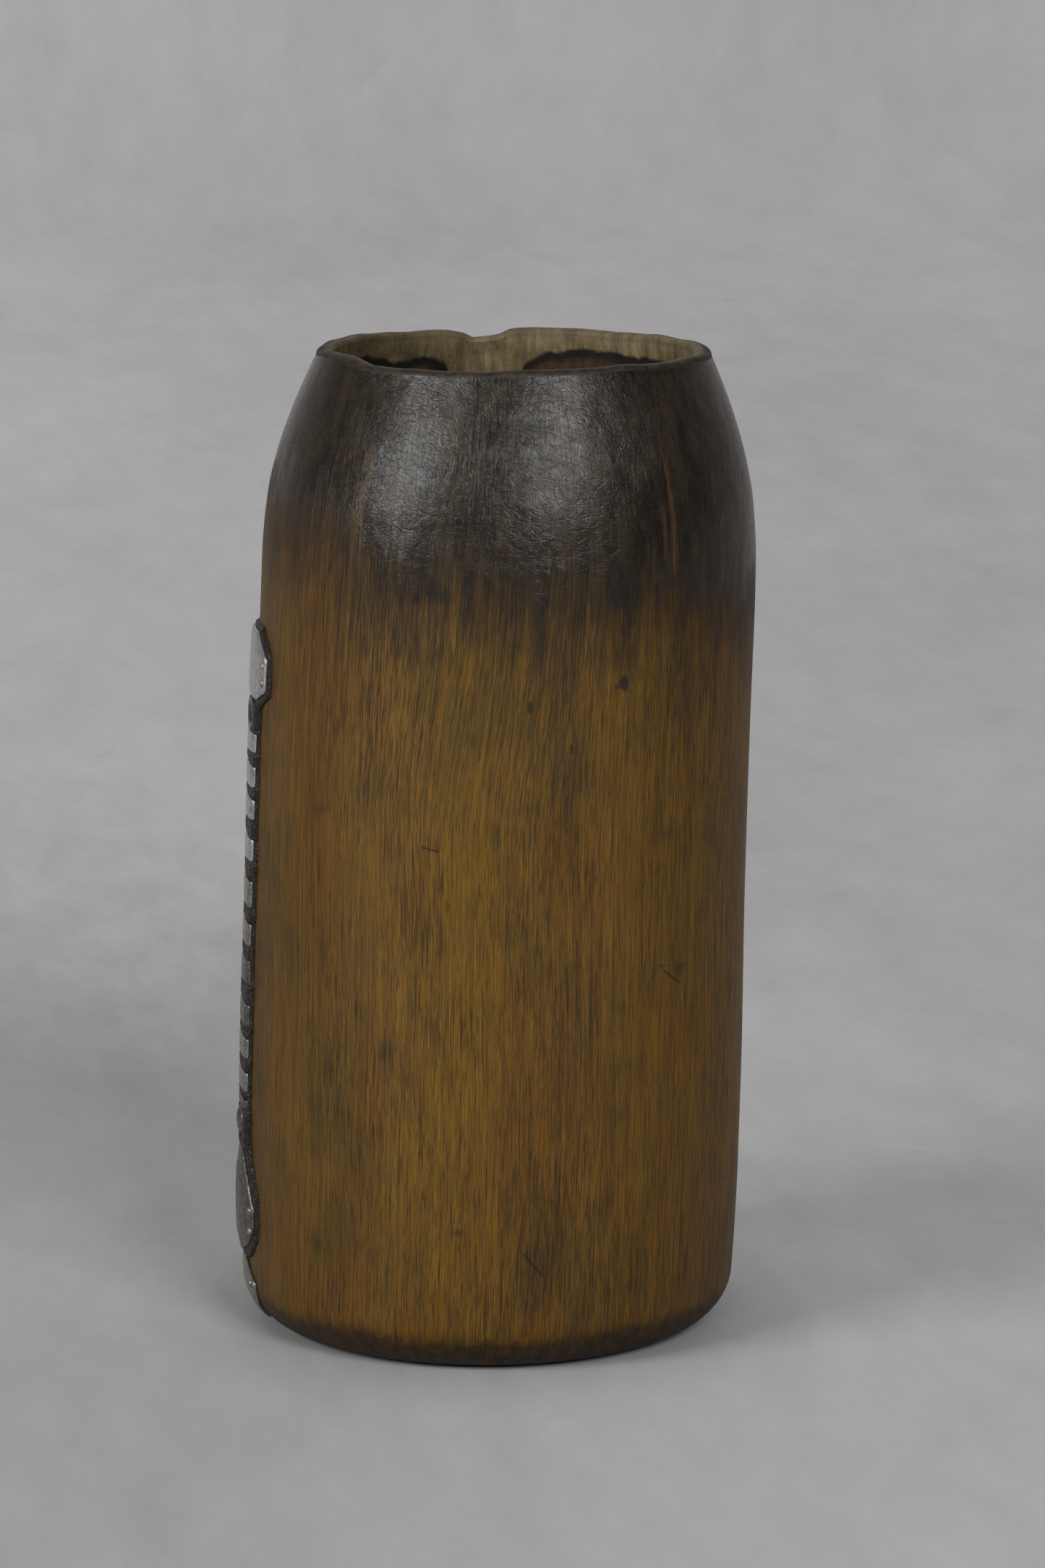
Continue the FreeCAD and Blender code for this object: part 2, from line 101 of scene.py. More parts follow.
# rim height round the mouth, degrees from +X
RIM_AT = np.array([0, 10, 27, 49, 53, 81, 83.4, 84.6, 86, 88, 91, 95, 98, 103, 126, 136, 153, 175, 191, 203, 208, 211, 215, 253, 261, 270, 302, 308, 329, 343, 350, 360], float)
RIM_Z = np.array([239.9, 240.2, 240.0, 239.8, 240.0, 240.1, 239.9, 239.6, 238.8, 238.35, 237.95, 237.65, 238.95, 239.75, 240.2, 240.6, 240.6, 240.1, 241.0, 241.0, 240.75, 240.35, 239.7, 239.8, 240.1, 240.3, 240.4, 240.2, 240.05, 239.7, 239.7, 239.9])


def rim_height(theta):
    deg = np.degrees(theta) % 360
    k = np.linspace(0, 360, 1441)
    z = np.interp(k, RIM_AT, RIM_Z)
    ker = np.hanning(9)
    ker /= ker.sum()
    z = np.convolve(np.concatenate([z[-9:-1], z, z[1:9]]), ker, "same")[8:-8]
    z = z + 0.10 * np.sin(np.radians(k) * 11 + 1.0) + 0.07 * np.sin(np.radians(k) * 23 + 2.0)
    return np.interp(deg, k, z)


def carved(theta, s):
    """How far the carved surface stands off the plain profile."""
    d = 0.16 * ring_noise(theta, s, 17, 58.0, 3) + 0.10 * ring_noise(theta, s, 31, 24.0, 4)
    d = d + 0.035 * ring_noise(theta, s, 120, 40.0, 5) * smooth(215, 190, s)
    flat = np.clip(np.cos(theta - math.radians(186)), 0, 1) ** 2 * smooth(140, 182, s)
    return d * smooth(2, 16, s) * (1 - 0.45 * smooth(225, 238, s)) - 0.95 * flat


def outer_section(n_corner=14):
    """(arc length, r, s) of the outside from the edge of the flat base to the last point under the lip."""
    pts = []
    r0 = float(WALL(13.0))
    for a in np.linspace(0, math.pi / 2, n_corner):
        pts.append((r0 - CORNER + CORNER * math.sin(a), CORNER - CORNER * math.cos(a)))
    s = 13.0
    while s < 238.3:
        s += 1.55 if s < 186 else 1.3
        pts.append((float(WALL(min(s, 238.4))), min(s, 238.4)))
    p = np.array(pts)
    t = np.concatenate([[0], np.cumsum(np.hypot(*np.diff(p, axis=0).T))])
    return t, p


OUT_T, OUT_P = outer_section()
_fine_t = np.linspace(0, OUT_T[-1], 3000)
_fine_r = np.interp(_fine_t, OUT_T, OUT_P[:, 0])
_fine_s = np.interp(_fine_t, OUT_T, OUT_P[:, 1])
_tr, _ts = np.gradient(_fine_r, _fine_t), np.gradient(_fine_s, _fine_t)
_k = np.ones(41) / 41
_nr = np.convolve(np.pad(_ts, 20, "edge"), _k, "valid")
_ns = -np.convolve(np.pad(_tr, 20, "edge"), _k, "valid")


def place(theta, r, s):
    """Row-frame millimetres of a point at angle theta, radius r and axial height s of the leaning trunk; the base is level."""
    w = smooth(0, 26, s)
    x = s * math.sin(LEAN) + r * np.cos(theta)
    y = r * np.sin(theta)
    z = s * math.cos(LEAN) - r * np.cos(theta) * math.sin(LEAN) * w
    return np.stack([x, y, z], -1)


def on_wood(theta, t, h):
    """A point h above the outside, at arc length t up the section."""
    theta, t, h = np.broadcast_arrays(np.asarray(theta, float), np.asarray(t, float), np.asarray(h, float))
    r, s = np.interp(t, _fine_t, _fine_r), np.interp(t, _fine_t, _fine_s)
    nr, ns = np.interp(t, _fine_t, _nr), np.interp(t, _fine_t, _ns)
    d = carved(theta, s)
    return place(theta, r + (h + d) * nr, s + (h + d) * ns)


def t_of_z(z, theta=math.pi):
    """Arc length up the section whose point is at row height z, at angle theta."""
    zz = place(np.full_like(_fine_t, theta), _fine_r, _fine_s)[:, 2]
    return np.interp(z, zz, _fine_t)


# ================================================================ small helpers
def mesh_object(name, verts, faces, attrs=None, colors=None, flat=False):
    me = bpy.data.meshes.new(name)
    me.from_pydata([tuple(v) for v in (np.asarray(verts) * MM)], [], [tuple(int(i) for i in f) for f in faces])
    me.update()
    for key, values in (attrs or {}).items():
        a = me.attributes.new(key, "FLOAT", "POINT")
        a.data.foreach_set("value", np.asarray(values, np.float32))
    me.polygons.foreach_set("use_smooth", [not flat] * len(me.polygons))
    me.validate()
    ob = bpy.data.objects.new(name, me)
    scene.collection.objects.link(ob)
    return ob


def grid_faces(rows, cols, wrap):
    f = []
    last = cols if wrap else cols - 1
    for i in range(rows - 1):
        a = i * cols
        for j in range(last):
            k = (j + 1) % cols
            f.append((a + j, a + k, a + cols + k, a + cols + j))
    return f


class G:
    """Short names for building a material's nodes."""

    def __init__(self, name):
        self.m = bpy.data.materials.new(name)
        self.m.use_nodes = True
        self.nt = self.m.node_tree
        self.nt.nodes.clear()
        out = self.nt.nodes.new("ShaderNodeOutputMaterial")
        self.b = self.nt.nodes.new("ShaderNodeBsdfPrincipled")
        self.nt.links.new(self.b.outputs[0], out.inputs[0])
        co = self.nt.nodes.new("ShaderNodeTexCoord")
        self.mm = self.vscale(co.outputs["Object"], 1000.0)

    def put(self, sock, v):
        if isinstance(v, bpy.types.NodeSocket):
            self.nt.links.new(v, sock)
        elif v is not None:
            if isinstance(v, tuple) and len(v) == 3 and sock.type == "RGBA":
                v = (*v, 1.0)
            sock.default_value = v

    def math(self, op, a, b=None, c=None, clamp=False):
        n = self.nt.nodes.new("ShaderNodeMath")
        n.operation, n.use_clamp = op, clamp
        for k, v in enumerate((a, b, c)):
            if v is not None:
                self.put(n.inputs[k], v)
        return n.outputs[0]

    def vec(self, op, a, b=None, scale=None):
        n = self.nt.nodes.new("ShaderNodeVectorMath")
        n.operation = op
        self.put(n.inputs[0], a)
        if b is not None:
            self.put(n.inputs[1], b)
        if scale is not None:
            self.put(n.inputs["Scale"], scale)
        return n.outputs["Value"] if op in ("LENGTH", "DISTANCE", "DOT_PRODUCT") else n.outputs[0]

    def vscale(self, v, k):
        return self.vec("SCALE", v, scale=k)

    def noise(self, v, detail=2.0, rough=0.5, dist=0.0, color=False, scale=1.0):
        n = self.nt.nodes.new("ShaderNodeTexNoise")
        self.put(n.inputs["Vector"], v)
        n.inputs["Scale"].default_value = scale
        n.inputs["Detail"].default_value = detail
        n.inputs["Roughness"].default_value = rough
        n.inputs["Distortion"].default_value = dist
        return n.outputs["Color" if color else "Fac"]

    def voronoi(self, v, feature="F1", scale=1.0, randomness=1.0):
        n = self.nt.nodes.new("ShaderNodeTexVoronoi")
        n.feature = feature
        self.put(n.inputs["Vector"], v)
        n.inputs["Scale"].default_value = scale
        n.inputs["Randomness"].default_value = randomness
        return n.outputs["Distance"]

    def ramp(self, fac, stops, mode="LINEAR"):
        n = self.nt.nodes.new("ShaderNodeValToRGB")
        n.color_ramp.interpolation = mode
        el = n.color_ramp.elements
        while len(el) > 1:
            el.remove(el[-1])
        for k, (p, c) in enumerate(stops):
            e = el[0] if k == 0 else el.new(p)
            e.position = p
            e.color = (*c, 1.0) if len(c) == 3 else c
        self.put(n.inputs[0], fac)
        return n.outputs[0]

    def step(self, v, lo, hi, a=0.0, b=1.0):
        n = self.nt.nodes.new("ShaderNodeMapRange")
        n.interpolation_type = "SMOOTHSTEP"
        self.put(n.inputs["Value"], v)
        for k, x in (("From Min", lo), ("From Max", hi), ("To Min", a), ("To Max", b)):
            self.put(n.inputs[k], x)
        return n.outputs[0]

    def line(self, v, lo, hi, a=0.0, b=1.0):
        n = self.nt.nodes.new("ShaderNodeMapRange")
        self.put(n.inputs["Value"], v)
        for k, x in (("From Min", lo), ("From Max", hi), ("To Min", a), ("To Max", b)):
            self.put(n.inputs[k], x)
        return n.outputs[0]

    def mix(self, fac, a, b, blend="MIX"):
        n = self.nt.nodes.new("ShaderNodeMix")
        n.data_type, n.blend_type = "RGBA", blend
        self.put(n.inputs["Factor"], fac)
        self.put(n.inputs["A"], a)
        self.put(n.inputs["B"], b)
        return n.outputs["Result"]

    def attr(self, name):
        n = self.nt.nodes.new("ShaderNodeAttribute")
        n.attribute_name = name
        return n.outputs["Fac"]

    def bump(self, height, distance, strength=1.0, normal=None):
        n = self.nt.nodes.new("ShaderNodeBump")
        n.inputs["Strength"].default_value = strength
        n.inputs["Distance"].default_value = distance
        self.put(n.inputs["Height"], height)
        if normal is not None:
            self.put(n.inputs["Normal"], normal)
        return n.outputs[0]

    def finish(self, color, rough, normal=None, **consts):
        self.put(self.b.inputs["Base Color"], color)
        self.put(self.b.inputs["Roughness"], rough)
        if normal is not None:
            self.put(self.b.inputs["Normal"], normal)
        for k, v in consts.items():
            self.b.inputs[k].default_value = v
        return self.m


def lin(r, g, b, k=1.0):
    f = lambda c: ((c / 255 + 0.055) / 1.055) ** 2.4 if c > 10 else c / 255 / 12.92
    return (f(r) * k, f(g) * k, f(b) * k)


# ================================================================ the vessel
COLS = 360


def build_vessel():
    theta = np.arange(COLS) * 2 * math.pi / COLS
    rim = rim_height(theta)
    rows, kinds = [], []  # each row: (r[COLS], s[COLS]); kind: 0 base, 1 outside, 2 lip, 3 inside, 4 floor

    def add(r, s, kind):
        rows.append((np.broadcast_to(np.asarray(r, float), COLS).copy(), np.broadcast_to(np.asarray(s, float), COLS).copy()))
        kinds.append(kind)

    r_edge = OUT_P[0, 0]
    for r in (6, 14, 22, 30, 37, 42.5):
        dip = 0.35 * smooth(40, 10, r)
        add(r, dip, 0)
    # the rim is level, so its height along the axis depends on the side
    rim_s = (rim + 48.0 * np.cos(theta) * math.sin(LEAN)) / math.cos(LEAN)
    shift = rim_s - TALL
    for (r, s), t in zip(OUT_P, OUT_T):
        up = smooth(196, 238.4, s)
        add(r + carved(theta, np.full(COLS, s)), s + shift * up, 1)
    # lip: a rounded, worn section about 4.4 mm thick
    half = 2.15 + 0.25 * ring_noise(theta, np.zeros(COLS), 9, 60, 21) + 0.12 * ring_noise(theta, np.zeros(COLS), 40, 60, 22)
    mid_r = 48.25 + carved(theta, np.full(COLS, 238.0)) - half
    worn = smooth(math.radians(9), math.radians(3), np.abs((theta - math.radians(92) + math.pi) % (2 * math.pi) - math.pi))
    rim_top = TALL + shift
    for k, a in enumerate(np.linspace(8, 172, 13)):
        ar = math.radians(a)
        c, sn = math.cos(ar), math.sin(ar)
        sq = math.copysign(abs(c) ** 0.72, c)
        drop = 1.7 * (1 - sn**0.8) * (1.0 if c > 0 else 0.9)
        add(mid_r + half * sq, rim_top - drop + 0.10 * ring_noise(theta, np.zeros(COLS), 55, 60, 23), 2)
    # inside, from under the lip to the floor
    inner = monotone([25, 60, 120, 180, 200, 215, 225, 232, 238], [53.5, 53.5, 53.4, 53.3, 52.0, 49.2, 46.9, 45.1, 43.75])
    s_in = list(np.arange(236.6, 196, -1.4)) + list(np.arange(192, 25, -5.0))
    for s in s_in:
        up = smooth(196, 238.4, s)
        groove = 1.2 * worn * smooth(222, 238, s)
        cut = 0.22 * ring_noise(theta, np.full(COLS, s), 26, 18.0, 31) + 0.12 * ring_noise(theta, np.full(COLS, s), 70, 30.0, 32)
        add(np.minimum(inner(s) + cut + groove, WALL(s) - 3.0), s + shift * up, 3)
    for a in np.linspace(0, math.pi / 2, 8)[1:]:
        add(42.5 + 11 * math.cos(a), 25 - 11 * math.sin(a), 4)
    for r in (36, 28, 20, 12, 5):
        add(r, 14 + 0.2 * ring_noise(theta, np.full(COLS, float(r)), 12, 10, 41), 4)

    pts, at_theta, at_s, at_kind = [], [], [], []
    for (r, s), kind in zip(rows, kinds):
        pts.append(place(theta, r, s))
        at_theta.append(theta)
        at_s.append(s)
        at_kind.append(np.full(COLS, kind))
    n = len(rows)
    v = np.concatenate(pts)
    th, ss, kk = np.concatenate(at_theta), np.concatenate(at_s), np.concatenate(at_kind)
    faces = grid_faces(n, COLS, True)
    low, high = len(v), len(v) + 1
    v = np.vstack([v, place(0.0, 0.0, 0.35)[None], place(0.0, 0.0, 14.0)[None]])
    th, ss, kk = np.append(th, [0, 0]), np.append(ss, [0, 14]), np.append(kk, [0, 4])
    faces += [((j + 1) % COLS, j, low) for j in range(COLS)]
    top = (n - 1) * COLS
    faces += [(top + j, top + (j + 1) % COLS, high) for j in range(COLS)]
    return v, faces, th, ss, kk


def outline_noise(deg, amps, seed):
    rng = np.random.default_rng(seed)
    out = np.zeros_like(deg)
    for k, a in amps:
        out += a * np.sin(np.radians(deg) * k + rng.uniform(0, 6.28))
    return out


v, faces, TH, SS, KK = build_vessel()
deg = np.degrees(TH) % 360
rimz = rim_height(TH)
z_row = v[:, 2]
outside, lip, inside = (KK <= 1), (KK == 2), (KK >= 3)
row_of = np.minimum(np.arange(len(TH)) // COLS, KK[: len(TH) - 2].reshape(-1, COLS).shape[0] - 1)
first_lip = int(row_of[np.argmax(lip)])
lip_step = np.where(lip, row_of - first_lip, -1)  # 0 at the outer edge of the lip, 12 at the inner
in_lip = np.where(inside, 1.0, np.where(lip, smooth(3.5, 7.5, lip_step), 0.0))
rub_lip = np.where(lip, smooth(-0.5, 1.5, lip_step), 0.0)

# darkened zone: height where it ends, round the trunk
EDGE_AT = [0, 20, 45, 70, 100, 135, 160, 174, 194, 208, 217, 224, 232, 239, 245, 248, 253, 261, 267, 274, 279, 284, 289, 296, 303, 310, 321, 333, 346, 360]
EDGE_Z = [184, 187, 190, 186, 192, 190, 200, 206, 203, 203, 201, 197, 191.5, 188.5, 187.5, 192, 188.5, 186, 183, 182.5, 185.5, 186, 183.5, 188, 190, 182, 182, 182, 183, 184]
edge = np.interp(deg, EDGE_AT, EDGE_Z)
patina = np.where(outside, z_row - edge, 50.0)  # millimetres above the edge
base_edge = 10.3 + outline_noise(deg, [(2, 0.6), (5, 0.5), (11, 0.35)], 8)
basedark = np.where(outside, base_edge - z_row, -40.0)
below_rim = np.where(inside, rimz - z_row, 0.0)
INNER_BAND_AT = [0, 15, 30.7, 38, 44, 51, 58.6, 65, 70, 73.5, 76, 78.5, 80, 84, 99, 102, 103.6, 106, 108, 112, 116, 120, 123, 129, 135.6, 150, 180, 210, 240, 270, 300, 330, 360]
INNER_BAND_MM = [8.0, 7.0, 5.7, 5.7, 5.4, 4.9, 4.8, 5.5, 5.7, 6.6, 7.8, 9.2, 12, 34, 34, 13, 8.6, 7.8, 7.0, 6.4, 6.6, 7.2, 7.7, 6.2, 5.6, 7.5, 9.0, 7.0, 8.5, 6.5, 9.0, 7.5, 8.0]
band_depth = np.interp(deg, INNER_BAND_AT, INNER_BAND_MM) + outline_noise(deg, [(13, 0.12), (29, 0.12)], 15)
below_band_edge = np.where(inside, below_rim - band_depth, -40.0)  # millimetres below the upper edge of the dark band inside

vessel = mesh_object(
    "vessel_wood",
    v,
    faces,
    attrs={
        "patina": patina,
        "basedark": basedark,
        "inside": in_lip,
        "lip": rub_lip,
        "gold": sum(a_ * np.exp(-((((deg - c_ + 180) % 360) - 180) / w_) ** 2) for c_, w_, a_ in ((262, 44, 1.0), (20, 30, 0.8), (130, 34, 0.9))),
        "twist": (
            4.4 * smooth(130, 186, z_row) * np.exp(-((((deg - 258 + 180) % 360 - 180) / 21) ** 2))
            - 4.0 * smooth(20, 90, z_row) * np.exp(-((((deg - 70 + 180) % 360 - 180) / 40) ** 2))
            + 1.2 * ring_noise(TH, z_row, 13, 75.0, 61)
            + 0.34 * ring_noise(TH, z_row, 37, 42.0, 62)
            + 0.09 * ring_noise(TH, z_row, 90, 24.0, 63)
        )
        / 60.0,
        "level": ((KK == 0) | ((KK == 4) & (np.hypot(v[:, 0], v[:, 1]) < 47))).astype(float),
        "under": np.where(outside, rimz - z_row, -5.0),
        # painted shade: 0 at 35 degrees, 1 at 215 degrees, for darkening one side of the inside
        "shaded_side": 0.5 - 0.5 * np.cos(TH - math.radians(35)),
        "inner_band": below_band_edge,
        "below": below_rim,
        "angle_x": np.cos(TH),
        "angle_y": np.sin(TH),
        "up": SS,
    },
)


def on_wood_mm(deg_, z_):
    """A surface point in row-frame millimetres, by angle and height."""
    a = math.radians(deg_)
    return tuple(float(c) for c in on_wood(a, t_of_z(z_, a), 0.0))


def wood_material():
    g = G("wood")
    p = g.mm
    # fibre coordinates: a plain 60 mm cylinder, turned a little so that the fibres wander and lean
    xyz = g.nt.nodes.new("ShaderNodeSeparateXYZ")
    g.put(xyz.inputs[0], p)
    comb = g.nt.nodes.new("ShaderNodeCombineXYZ")
    g.put(comb.inputs[0], g.math("MULTIPLY", g.attr("angle_x"), 60.0))
    g.put(comb.inputs[1], g.math("MULTIPLY", g.attr("angle_y"), 60.0))
    g.put(comb.inputs[2], xyz.outputs[2])
    turn = g.nt.nodes.new("ShaderNodeVectorRotate")
    turn.rotation_type = "Z_AXIS"
    g.put(turn.inputs["Vector"], comb.outputs[0])
    g.put(turn.inputs["Angle"], g.math("MULTIPLY", g.attr("twist"), -1.0))
    level = g.attr("level")
    q = g.vec("ADD", g.vec("SCALE", turn.outputs[0], scale=g.math("SUBTRACT", 1.0, level)), g.vec("SCALE", p, scale=level))
    fine_w = g.vec("SUBTRACT", g.noise(g.vec("MULTIPLY", p, (0.10, 0.10, 0.016)), 1, 0.5, color=True), (0.5, 0.5, 0.5))
    wander = g.vec("SUBTRACT", g.noise(g.vec("MULTIPLY", p, (0.018, 0.018, 0.0055)), 1, 0.5, color=True), (0.5, 0.5, 0.5))
    wander = g.vec("MULTIPLY", wander, (6.0, 6.0, 0.0))

    broad = g.noise(g.vec("MULTIPLY", q, (0.060, 0.060, 0.009)), 2, 0.5)
    mid = g.noise(g.vec("MULTIPLY", q, (1.7, 1.7, 0.026)), 3, 0.62)
    fine = g.noise(g.vec("MULTIPLY", q, (3.6, 3.6, 0.060)), 3, 0.68)
    hair = g.noise(g.vec("MULTIPLY", q, (7.0, 7.0, 0.16)), 2, 0.6)
    patch = g.noise(g.vec("MULTIPLY", p, (0.050, 0.050, 0.020)), 3, 0.6)
    pores = g.noise(g.vec("MULTIPLY", g.vec("ADD", q, (31.0, 7.0, 3.0)), (5.2, 5.2, 0.20)), 2, 0.5)
    near_edge = g.step(g.attr("patina"), -62.0, -8.0)
    pore_mask = g.step(g.math("ADD", g.math("ADD", pores, g.math("MULTIPLY", near_edge, 0.035)), g.math("MULTIPLY", g.math("SUBTRACT", patch, 0.5), 0.30)), 0.56, 0.64)
    big_pores = g.noise(g.vec("MULTIPLY", g.vec("ADD", q, (11.0, 57.0, 9.0)), (3.4, 3.4, 0.090)), 2, 0.5)
    big_mask = g.step(g.math("ADD", g.math("ADD", big_pores, g.math("MULTIPLY", near_edge, 0.050)), g.math("MULTIPLY", g.math("SUBTRACT", patch, 0.5), 0.35)), 0.59, 0.67)
    cloud = g.noise(g.vec("MULTIPLY", g.vec("ADD", p, (7.0, 3.0, 1.0)), (0.045, 0.045, 0.026)), 4, 0.62)

    # new-wood colours
    tone = g.math("ADD", g.math("MULTIPLY", mid, 0.36), g.math("ADD", g.math("MULTIPLY", fine, 0.38), g.math("MULTIPLY", hair, 0.26)))
    col = g.ramp(
        tone,
        [(0.37, (0.043, 0.0215, 0.0026)), (0.45, (0.090, 0.0475, 0.0044)), (0.53, (0.123, 0.0665, 0.0056)), (0.63, (0.166, 0.0925, 0.0088))],
    )
    col = g.mix(g.step(broad, 0.44, 0.66, 0.0, 0.55), col, g.mix(1.0, col, (0.88, 0.74, 0.62, 1.0), "MULTIPLY"))
    col = g.mix(g.step(cloud, 0.50, 0.68, 0.0, 0.62), col, g.mix(1.0, col, (0.60, 0.66, 0.78, 1.0), "MULTIPLY"))
    col = g.mix(g.step(cloud, 0.42, 0.30, 0.0, 0.35), col, g.mix(1.0, col, (1.22, 1.18, 1.10, 1.0), "MULTIPLY"))
    spots = g.noise(g.vec("MULTIPLY", g.vec("ADD", q, (41.0, 13.0, 70.0)), (0.17, 0.17, 0.065)), 3, 0.6)
    col = g.mix(g.step(spots, 0.54, 0.70, 0.0, 0.60), col, g.mix(1.0, col, (0.62, 0.66, 0.72, 1.0), "MULTIPLY"))
    col = g.mix(g.step(spots, 0.42, 0.30, 0.0, 0.45), col, g.mix(1.0, col, (1.20, 1.16, 1.05, 1.0), "MULTIPLY"))
    tint = g.noise(g.vec("MULTIPLY", g.vec("ADD", q, (5.0, 91.0, 2.0)), (1.7, 1.7, 0.028)), 2, 0.6)
    col = g.mix(1.0, col, g.ramp(tint, [(0.36, (0.93, 0.99, 0.95)), (0.50, (1.0, 1.0, 1.0)), (0.64, (1.10, 0.98, 0.90))]), "MULTIPLY")
    gold = g.math("ADD", g.attr("gold"), g.math("MULTIPLY", g.math("SUBTRACT", cloud, 0.5), 1.2))
    col = g.mix(1.0, col, g.mix(g.step(gold, 0.15, 1.0), (0.92, 0.89, 0.92, 1.0), (1.06, 1.06, 1.00, 1.0)), "MULTIPLY")
    red = g.noise(g.vec("MULTIPLY", g.vec("ADD", p, (3.0, 17.0, 40.0)), (0.036, 0.036, 0.015)), 3, 0.6)
    col = g.mix(g.step(red, 0.50, 0.66, 0.0, 0.38), col, g.mix(1.0, col, (1.0, 0.86, 0.82, 1.0), "MULTIPLY"))
    col = g.mix(g.math("MULTIPLY", pore_mask, 0.54), col, (0.012, 0.0068, 0.0030, 1.0))
    col = g.mix(g.math("MULTIPLY", big_mask, 0.52), col, (0.010, 0.0060, 0.0030, 1.0))

    # marks left by use: dark specks, stains and fine scratches
    marks = None

    def blot(at, size, soft, amount, rough_edge=0.35):
        nonlocal marks
        d = g.vec("LENGTH", g.vec("DIVIDE", g.vec("SUBTRACT", p, on_wood_mm(*at)), size))
        d = g.math("ADD", d, g.math("MULTIPLY", g.math("SUBTRACT", g.noise(g.vscale(p, 0.55), 2, 0.5), 0.5), rough_edge * 2))
        m_ = g.step(d, 1.0, 1.0 - soft, 0.0, amount)
        marks = m_ if marks is None else g.math("MAXIMUM", marks, m_)

    blot((290.5, 167.3), (1.7, 1.7, 2.3), 0.5, 0.85)
    blot((288.9, 166.6), (1.1, 1.1, 0.7), 0.5, 0.6)
    blot((245.4, 190.2), (2.2, 2.2, 2.6), 0.6, 0.85)
    blot((248.6, 188.6), (4.2, 4.2, 2.6), 0.7, 0.5)
    blot((288.2, 188.3), (2.4, 2.4, 4.0), 0.6, 0.9)
    blot((268.6, 162.7), (0.9, 0.9, 2.2), 0.6, 0.8)
    blot((278.2, 152.4), (0.7, 0.7, 1.6), 0.6, 0.7)
    blot((216.5, 134.9), (3.6, 3.6, 3.4), 0.9, 0.32)
    blot((238.3, 78.9), (4.6, 4.6, 5.0), 0.9, 0.40)
    blot((255.5, 35.9), (1.3, 1.3, 1.7), 0.8, 0.55)
    blot((304.0, 130.0), (3.0, 3.0, 2.0), 0.9, 0.35)
    blot((309.0, 96.0), (4.0, 4.0, 2.4), 0.8, 0.35)
    blot((150.0, 120.0), (4.0, 4.0, 3.0), 0.9, 0.40)
    blot((92.0, 60.0), (6.0, 6.0, 6.0), 0.9, 0.35)
    blot((40.0, 150.0), (3.0, 3.0, 4.0), 0.9, 0.35)
    blot((120.0, 170.0), (1.2, 1.2, 2.0), 0.6, 0.75)
    blot((20.0, 70.0), (1.4, 1.4, 1.8), 0.7, 0.60)
    col = g.mix(marks, col, (0.014, 0.010, 0.007, 1.0))
    scratches = None

    def scratch(a, b, width, amount):
        nonlocal scratches
        pa_, pb_ = Vector(on_wood_mm(*a)), Vector(on_wood_mm(*b))
        ab = pb_ - pa_
        rel = g.vec("SUBTRACT", p, tuple(pa_))
        t_ = g.math("MULTIPLY", g.vec("DOT_PRODUCT", rel, tuple(ab)), 1.0 / ab.length_squared, clamp=True)
        near = g.vec("SUBTRACT", rel, g.vscale(tuple(ab), t_))
        d = g.math("ADD", g.vec("LENGTH", near), g.math("MULTIPLY", g.math("SUBTRACT", g.noise(g.vscale(p, 1.4), 2, 0.5), 0.5), width * 1.2))
        m_ = g.step(d, width, width * 0.35, 0.0, amount)
        scratches = m_ if scratches is None else g.math("MAXIMUM", scratches, m_)

    scratch((270.5, 30.6), (274.7, 25.4), 0.38, 0.8)
    scratch((245.2, 128.9), (248.8, 128.1), 0.36, 0.8)
    scratch((303.9, 96.4), (308.7, 92.9), 0.40, 0.7)
    scratch((302.0, 98.0), (311.0, 97.0), 0.30, 0.5)
    scratch((130.0, 90.0), (137.0, 84.0), 0.35, 0.7)
    scratch((60.0, 120.0), (66.0, 131.0), 0.30, 0.6)
    col = g.mix(scratches, col, (0.012, 0.008, 0.006, 1.0))

    # a little darker and pinker near the base
    shade = g.attr("basedark")
    up = xyz.outputs[2]
    col = g.mix(g.step(up, 50.0, 12.0, 0.0, 0.25), col, g.mix(1.0, col, (0.80, 0.76, 0.76, 1.0), "MULTIPLY"))

    # handled zone near the mouth: brown stain, then near-black crust
    at = g.attr("patina")
    ragged = g.math("MULTIPLY", g.math("SUBTRACT", g.noise(g.vec("MULTIPLY", q, (0.34, 0.34, 0.030)), 3, 0.65), 0.5), 36.0)
    ragged = g.math("ADD", ragged, g.math("MULTIPLY", g.math("SUBTRACT", g.noise(g.vscale(p, 0.11), 3, 0.6), 0.5), 16.0))
    ragged = g.math("ADD", ragged, g.math("MULTIPLY", g.math("SUBTRACT", g.noise(g.vec("MULTIPLY", q, (1.9, 1.9, 0.09)), 2, 0.6), 0.5), 14.0))
    at = g.math("ADD", at, ragged)
    brown = g.step(at, -25.0, 1.0)
    black = g.step(at, -5.0, 11.0)
    stained = g.mix(1.0, col, (0.42, 0.41, 0.40, 1.0), "MULTIPLY")
    col = g.mix(brown, col, stained)
    crust_n = g.noise(g.vec("MULTIPLY", g.vec("ADD", p, g.vscale(wander, 0.5)), (0.30, 0.30, 0.11)), 4, 0.62)
    crust = g.ramp(crust_n, [(0.32, (0.0085, 0.0062, 0.0038)), (0.50, (0.0155, 0.0108, 0.0056)), (0.70, (0.033, 0.0225, 0.0108))])
    smear = g.noise(g.vec("MULTIPLY", q, (0.16, 0.16, 0.016)), 3, 0.6)
    crust = g.mix(g.step(smear, 0.48, 0.66, 0.0, 0.62), crust, g.mix(g.step(fine, 0.35, 0.65), (0.018, 0.0125, 0.0060, 1.0), (0.046, 0.031, 0.0120, 1.0)))
    col = g.mix(black, col, crust)

